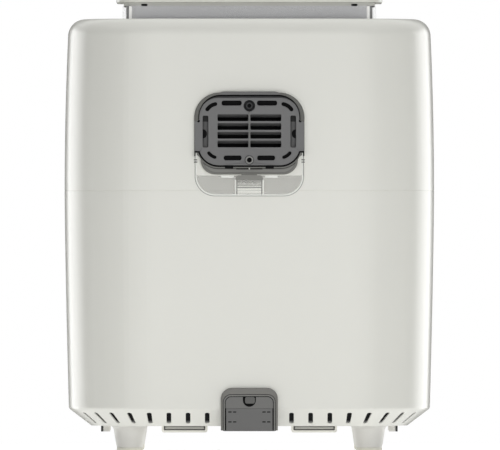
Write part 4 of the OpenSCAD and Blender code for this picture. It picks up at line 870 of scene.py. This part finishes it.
def outlet_housing():
    """Rings from the outside in: a slope, a dark line, a ridge, and a dark line round the cover; a black sheet
    behind paints the lines' shade.
    """
    side = arc(OUTLET_EDGE - 2.9, OUTLET_LOW + 2.2, 2.2, -90, 0, 5) + [(OUTLET_EDGE, 4)]
    side += arc(OUTLET_EDGE - 9, OUTLET_TOP - 9, 9, 0, 90, 8)
    slab("outlet_shell", [mirrored(side)], OUTLET_BACK - 24, OUTLET_BED, GREY_LIGHT, **OUTLET_PART, bevel=0.3)
    stations = (((OUTLET_EDGE, OUTLET_TOP, 9), OUTLET_BED),
                ((OUTLET_EDGE - 0.4, OUTLET_TOP - 0.5, 8.6), OUTLET_BACK - 1.6),
                (SLOPE_IN, OUTLET_BACK - 0.5), (SLOPE_IN, OUTLET_BED))
    lines = [[P(x, y, z) for x, z in arch(*shape)] for shape, y in stations]
    piece("outlet_slope", *skin(lines, closed=False), SLOPE, **OUTLET_PART, bevel=0.35)
    ridge = arch(*RIDGE_OUT) + arch(*RIDGE_IN)[::-1]
    slab("outlet_ridge", [ridge], OUTLET_BED, OUTLET_BACK, RIDGE, **OUTLET_PART, bevel=0.5, segments=3)
    gap = arch(OUTLET_EDGE - 1.2, OUTLET_TOP - 4, 7)
    slab("outlet_gap", [gap], OUTLET_BED - 0.1, OUTLET_BED + 0.2, BLACK_AND_SHADE, node="outlet_housing", bevel=0)


def outlet_cover():
    """The cover plate with its notch, a lower part one tone darker as the painted shade of a slight tilt, and
    dashes.
    """
    side = arc(COVER_X - COVER_R, COVER_TOP - COVER_R, COVER_R, 0, 90, 6)
    upper = [(COVER_X, COVER_FOLD)] + side + [(NOTCH_R, COVER_TOP)] + arc(0, NOTCH_Z, NOTCH_R, 0, -180, 12)
    upper += [(-NOTCH_R, COVER_TOP)] + [(-x, z) for x, z in reversed(side)] + [(-COVER_X, COVER_FOLD)]
    slab("cover_plate", [upper], OUTLET_BED - 0.5, OUTLET_BACK - 0.7, GREY_LIGHT, **COVER_PART, bevel=0.3)
    # the lower part is one tone darker, as the painted shade of a slight tilt
    lower = mirrored([(COVER_X - 0.5, OUTLET_FOOT), (COVER_X - 0.5, COVER_FOLD - 0.05)])
    slab("cover_lower", [lower], OUTLET_BED - 0.5, OUTLET_BACK - 0.9, GREY_LOW, **COVER_PART, bevel=0.2)
    deep = (OUTLET_BACK - 1.1, OUTLET_BACK - 0.82)
    for side, sx in (("r", -1), ("l", 1)):
        for x in (12.0, 15.9):
            for z in (11.8, 3.7):
                block(f"cover_dash_{side}{int(x)}_{int(z)}", span(sx * x, 1.35), deep, span(z, 0.45), BLACK_AND_SHADE,
                      node="outlet_cover", bevel=0.05)


def cord_gland():
    """A dark throat of black painted shade, with a grey tongue in the cover's notch."""
    throat = disc(12.4, 0, NOTCH_Z)
    slab("gland_throat", [throat], OUTLET_BED - 0.4, OUTLET_BED + 0.5, BLACK_AND_SHADE, node="cord_gland", bevel=0.1)
    tongue = rrect(8.1, 5.5, 1.6, -0.55, NOTCH_Z + 0.05)
    slab("gland_tongue", [tongue], OUTLET_BED, OUTLET_BACK - 1.1, GREY_RUBBER, node="cord_gland",
         slot="grey_silicone", bevel=0.7, segments=3)


outlet_housing()
outlet_cover()
cord_gland()


# ---------- tank and lid ----------
TANK_WALL, LID_EDGE_R = 3.0, 3.0
LID_LOW = TANK_TOP + GASKET_T + 0.25
LID_TOP = TANK_TOP + GASKET_T + LID_T
TANK_COLS = columns(TANK_W / 2 - TANK_R, TANK_D / 2 - TANK_R, corner=14, side=4)
TANK_REAR = TANK_Y + TANK_D / 2


def ring_piece(name, rows, mat, cap_low=True, cap_high=True, **kw):
    """A piece with the tank's outline, from (corner radius, height) rows."""
    loops = [loop(TANK_COLS, r, h, 0, TANK_Y) for r, h in rows]
    piece(name, *skin(loops, cap_low=cap_low, cap_high=cap_high), mat, **kw)


def tank():
    """Clear wall, rounded at the rim and the floor, and its spout."""
    r, inner = TANK_R, TANK_R - TANK_WALL
    rows = [(r - 4, TANK_LOW), (r - 1.2, TANK_LOW + 0.6), (r, TANK_LOW + 3), (r, TANK_TOP - 0.5),
            (r - 0.5, TANK_TOP), (inner + 0.5, TANK_TOP), (inner, TANK_TOP - 0.5), (inner, TANK_LOW + 6),
            (inner - 3, TANK_LOW + 3)]
    clear = dict(body="tank", node="water_tank", slot="clear_plastic")
    ring_piece("tank_wall", rows, CLEAR, **clear, bevel=0, shadow=False)
    lathe("tank_spout", [(3.5, 0), (8.5, 0), (8.5, 9.5), (3.5, 9.5)], -70, TANK_Y + 30, TANK_LOW - 9, CLEAR,
          **clear, bevel=0.3)


def lid():
    """Cover, seal, and the neck that reaches down into the tank."""
    edge = TANK_R + LID_OVER
    rows = [(edge - 4.2, LID_LOW), (edge - 0.25, LID_LOW), (edge, LID_LOW + 0.25), (edge, LID_LOW + 0.6),
            (edge, LID_TOP - LID_EDGE_R)]
    rows += arc(edge - LID_EDGE_R, LID_TOP - LID_EDGE_R, LID_EDGE_R, 15, 90, 6) + [(edge - 12, LID_TOP)]
    ring_piece("lid_cover", rows, SHELL, body="lid", node="tank_lid", slot="shell_plastic", bevel=0)
    outer, inner, low = TANK_R - 0.9, TANK_R - 5, TANK_TOP + 0.2
    rows = [(outer, low), (outer, LID_LOW), (inner, LID_LOW), (inner, low)]
    ring_piece("lid_seal", rows, GASKET, cap_low=False, cap_high=False, body="lid", node="lid_gasket",
               slot="grey_silicone", bevel=0.3)
    plug = TANK_R - TANK_WALL - 0.55
    rows = [(plug - 2, TANK_TOP - PLUG_H), (plug, TANK_TOP - PLUG_H), (plug, LID_LOW), (plug - 2, LID_LOW)]
    ring_piece("lid_neck", rows, NECK, cap_low=False, body="lid", node="lid_plug", slot="trim_plastic",
               bevel=0.3)


def lid_marks():
    """A painted dark reflection and a glowing painted highlight up the neck's rear corners, and the seal's
    breather slots filled with black painted shade.
    """
    painted_strips = (("dark", 98.9, 101.1, 1.5, NECK_REFLECTION), ("light", 96.3, 98.9, 3.5, GLINT))
    for label, near, far, deep, mat in painted_strips:
        pair(f"neck_{label}_{{}}", near, far, (TANK_REAR - 8, TANK_REAR - 8 + deep),
             (TANK_TOP - PLUG_H, TANK_TOP), mat, body="lid", node="lid_plug", bevel=0.3)
    for side, sx in SIDES:
        breather = rrect(5.2, 1.7, 0.8, sx * 86.2, TANK_TOP + 0.9)
        slab(f"breather_{side}", [breather], TANK_REAR - 1.2, TANK_REAR - 0.6, BLACK_AND_SHADE, body="lid",
             node="lid_gasket", bevel=0)


tank()
lid()
lid_marks()


# ---------- handle ----------
def grip():
    """A soft-cornered bar swept along a U: out from the drawer, across and back."""
    reach, bend, edge = HANDLE_W / 2 - HANDLE_T / 2, 13.0, 3.4
    front = HANDLE_FACE + HANDLE_T / 2
    # the half path: (x, y, and the way across it in x and y)
    path = [(reach, HANDLE_BACK, 1, 0), (reach, front + bend + 8, 1, 0)]
    path += [(*at(reach - bend, front + bend, bend, a), *at(0, 0, 1, a)) for a in spread(0, -90, 10)]
    path += [(30, front, 0, -1), (0, front, 0, -1)]
    path += [(-x, y, -across_x, across_y) for x, y, across_x, across_y in reversed(path[:-1])]
    section = rrect(HANDLE_T, HANDLE_H, edge, n=5)
    loops = [[P(x + across_x * u, y + across_y * u, HANDLE_Z + v) for u, v in section]
             for x, y, across_x, across_y in path]
    piece("handle_grip", *skin(loops, cap_low=True, cap_high=True), SHELL, body="drawer", node="handle",
          slot="shell_plastic", bevel=0.5, limit=60)


grip()

# ---------- CAD pieces that keep their own mesh ----------
FINISHES = (
    (BASE_WHITE, "base_plate", "front_shelf"), (TRIM, "tank_well", "water_pump"),
    (TRIM, "selector_knob", "power_button", "steam_button"), (GREY, "window_bezel"),
    (DARK, "front_frame", "cooling_fan", "drawer_back", "window_sleeve", "control_fascia"),
    (SHEET, "exhaust_duct", "cavity_liner", "drawer_rails", "convection_fan", "motor_bracket"),
    (TURNED, "base_screws", "motor_shaft"), (HEATER, "heater_element"), (CAST, "steam_generator"),
    (MOTOR, "motor"), (BRONZE, "motor_bearings"), (WOOL, "insulation_mat"), (SILICONE, "water_hoses"),
    (BOARD, "power_board", "control_board"), (TINTED, "window_glass", "pot_glass"), (GLOSS, "display_lens"),
    (COATED, "pot", "crisper_plate"), (RED_RUBBER, "crisper_feet"),
)
SOFT_EDGE = {"window_bezel": 0.8, "selector_knob": 0.9, "power_button": 0.6, "steam_button": 0.6,
             "control_fascia": 1.2}
for finish, *names in FINISHES:
    for name in names:
        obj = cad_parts[name]
        obj.data.materials.clear()
        obj.data.materials.append(finish)
        weld = obj.modifiers.new("weld", "WELD")
        weld.merge_threshold = 2e-6
        soften(obj, SOFT_EDGE.get(name, 0.3), 40)

# ---------- stage and lights ----------
bpy.context.scene.view_settings.view_transform = "Standard"
world = bpy.data.worlds.new("studio")
bpy.context.scene.world = world
world.use_nodes = True


def sky(soft, gloss, calm, top, ground):
    """White to the camera. As light it changes from front to back, with levels for soft light and others for
    what shines in a gloss, which are calmer above the horizon. High up it turns to the level of a ceiling
    panel, and low down to that of the floor."""
    nodes, links = world.node_tree.nodes, world.node_tree.links
    place = nodes.new("ShaderNodeTexCoord")
    split = nodes.new("ShaderNodeSeparateXYZ")
    links.new(place.outputs["Generated"], split.inputs[0])
    rays = nodes.new("ShaderNodeLightPath")

    def scale(axis, low, high):
        """0 to 1 as the direction's part along an axis goes from low to high."""
        node = set_sockets(nodes.new("ShaderNodeMapRange"), From_Min=low, From_Max=high)
        links.new(split.outputs[axis], node.inputs["Value"])
        return node.outputs["Result"]

    from_front = scale("Y", -1, 1)

    def ramp(stops):
        """Levels from (the direction's part along y, level) pairs."""
        node = nodes.new("ShaderNodeValToRGB")
        links.new(from_front, node.inputs["Fac"])
        while len(node.color_ramp.elements) < len(stops):
            node.color_ramp.elements.new(0.5)
        for e, (y, level) in zip(node.color_ramp.elements, stops):
            e.position = (y + 1) / 2
            e.color = (level, level, level, 1)
        return node.outputs["Color"]

    def mix(share, a, b):
        """From a to b, which may be a plain level."""
        node = nodes.new("ShaderNodeMix")
        node.data_type = "RGBA"
        links.new(share, node.inputs["Factor"])
        links.new(a, node.inputs["A"])
        if isinstance(b, float):
            set_sockets(node, B=(b, b, b, 1))
        else:
            links.new(b, node.inputs["B"])
        return node.outputs["Result"]

    shine = mix(scale("Z", 0.2, 0.32), ramp(gloss), ramp(calm))
    light = mix(rays.outputs["Is Glossy Ray"], ramp(soft), shine)
    light = mix(scale("Z", 0.45, 0.8), light, top)
    light = mix(scale("Z", -0.3, -0.45), light, ground)
    lit = nodes.new("ShaderNodeBackground")
    links.new(light, lit.inputs["Color"])
    seen = set_sockets(nodes["Background"], Color=(1, 1, 1, 1))
    pick = nodes.new("ShaderNodeMixShader")
    links.new(rays.outputs["Is Camera Ray"], pick.inputs["Fac"])
    links.new(lit.outputs[0], pick.inputs[1])
    links.new(seen.outputs[0], pick.inputs[2])
    links.new(pick.outputs[0], nodes["World Output"].inputs["Surface"])


DARK_SIDE = ((-0.34, 0.06), (0.6, 0.06), (1.0, 1.9))
sky(soft=((-1.0, 0.1), (-0.25, 0.1), (-0.1, 0.0), (1.0, 0.0)),
    gloss=((-1.0, 0.1), (-0.9, 0.1), (-0.82, 3.5), (-0.42, 3.5), *DARK_SIDE),
    calm=((-1.0, 0.1), (-0.9, 0.1), (-0.82, 1.1), (-0.42, 1.1), *DARK_SIDE), top=0.92, ground=1.0)


def pale_floor():
    """A plain floor with a faint glow, as bright as the sky behind it."""
    mat = bpy.data.materials.new("floor")
    mat.use_nodes = True
    set_sockets(mat.node_tree.nodes["Principled BSDF"], Base_Color=(0.94, 0.94, 0.94, 1), Roughness=0.7,
                Emission_Strength=0.41)
    half, front, back, low = 3, -0.45, 3, -0.0004
    corners = [(-half, front, low), (half, front, low), (half, back, low), (-half, back, low)]
    mesh = bpy.data.meshes.new("floor")
    mesh.from_pydata(corners, [], [(0, 1, 2, 3)])
    mesh.materials.append(mat)
    floor = add("floor", mesh)
    floor.visible_glossy = False
    return floor


floor = pale_floor()


def softbox(name, place, target, size, power, height=None):
    """A square light panel, or an oblong one with a height."""
    light = bpy.data.lights.new(name, "AREA")
    light.energy = power
    light.size = size
    if height:
        light.shape = "RECTANGLE"
        light.size_y = height
    obj = add(name, light)
    obj.visible_glossy = False
    obj.location = place
    obj.rotation_euler = (Vector(target) - Vector(place)).to_track_quat("-Z", "Y").to_euler()


softbox("key", (-0.8, 3.0, 0.4), (0, 0, 0.2), 1.4, 21, height=0.6)
softbox("top", (0, -0.2, 1.7), (0, -0.2, 0), 1.0, 6, height=0.5)
softbox("front", (0.6, -2.6, 1.3), (0, 0, 0.2), 1.4, 13)

# ---------- camera: far behind the part and level, as in the photo ----------
MM_PER_PIXEL, PHOTO_W = 0.82, 500
CENTRE_PIXEL = (249.35, 225.0)
BASE_PIXEL_Y = 426.0
CAMERA_BACK = 14.0
SCALE_PLANE = 135.0
camera_data = bpy.data.cameras.new("camera")
camera = add("camera", camera_data)
eye_h = (BASE_PIXEL_Y - CENTRE_PIXEL[1]) * MM_PER_PIXEL
aim_x = (CENTRE_PIXEL[0] - PHOTO_W / 2) * MM_PER_PIXEL
camera.location = P(aim_x, SCALE_PLANE, eye_h) + Vector((0, CAMERA_BACK, 0))
camera.rotation_euler = (math.radians(90), 0, math.radians(180))
camera_data.lens = camera_data.sensor_width * CAMERA_BACK / (PHOTO_W * MM_PER_PIXEL / 1000)
camera_data.clip_start, camera_data.clip_end = 5, 60
bpy.context.scene.camera = camera
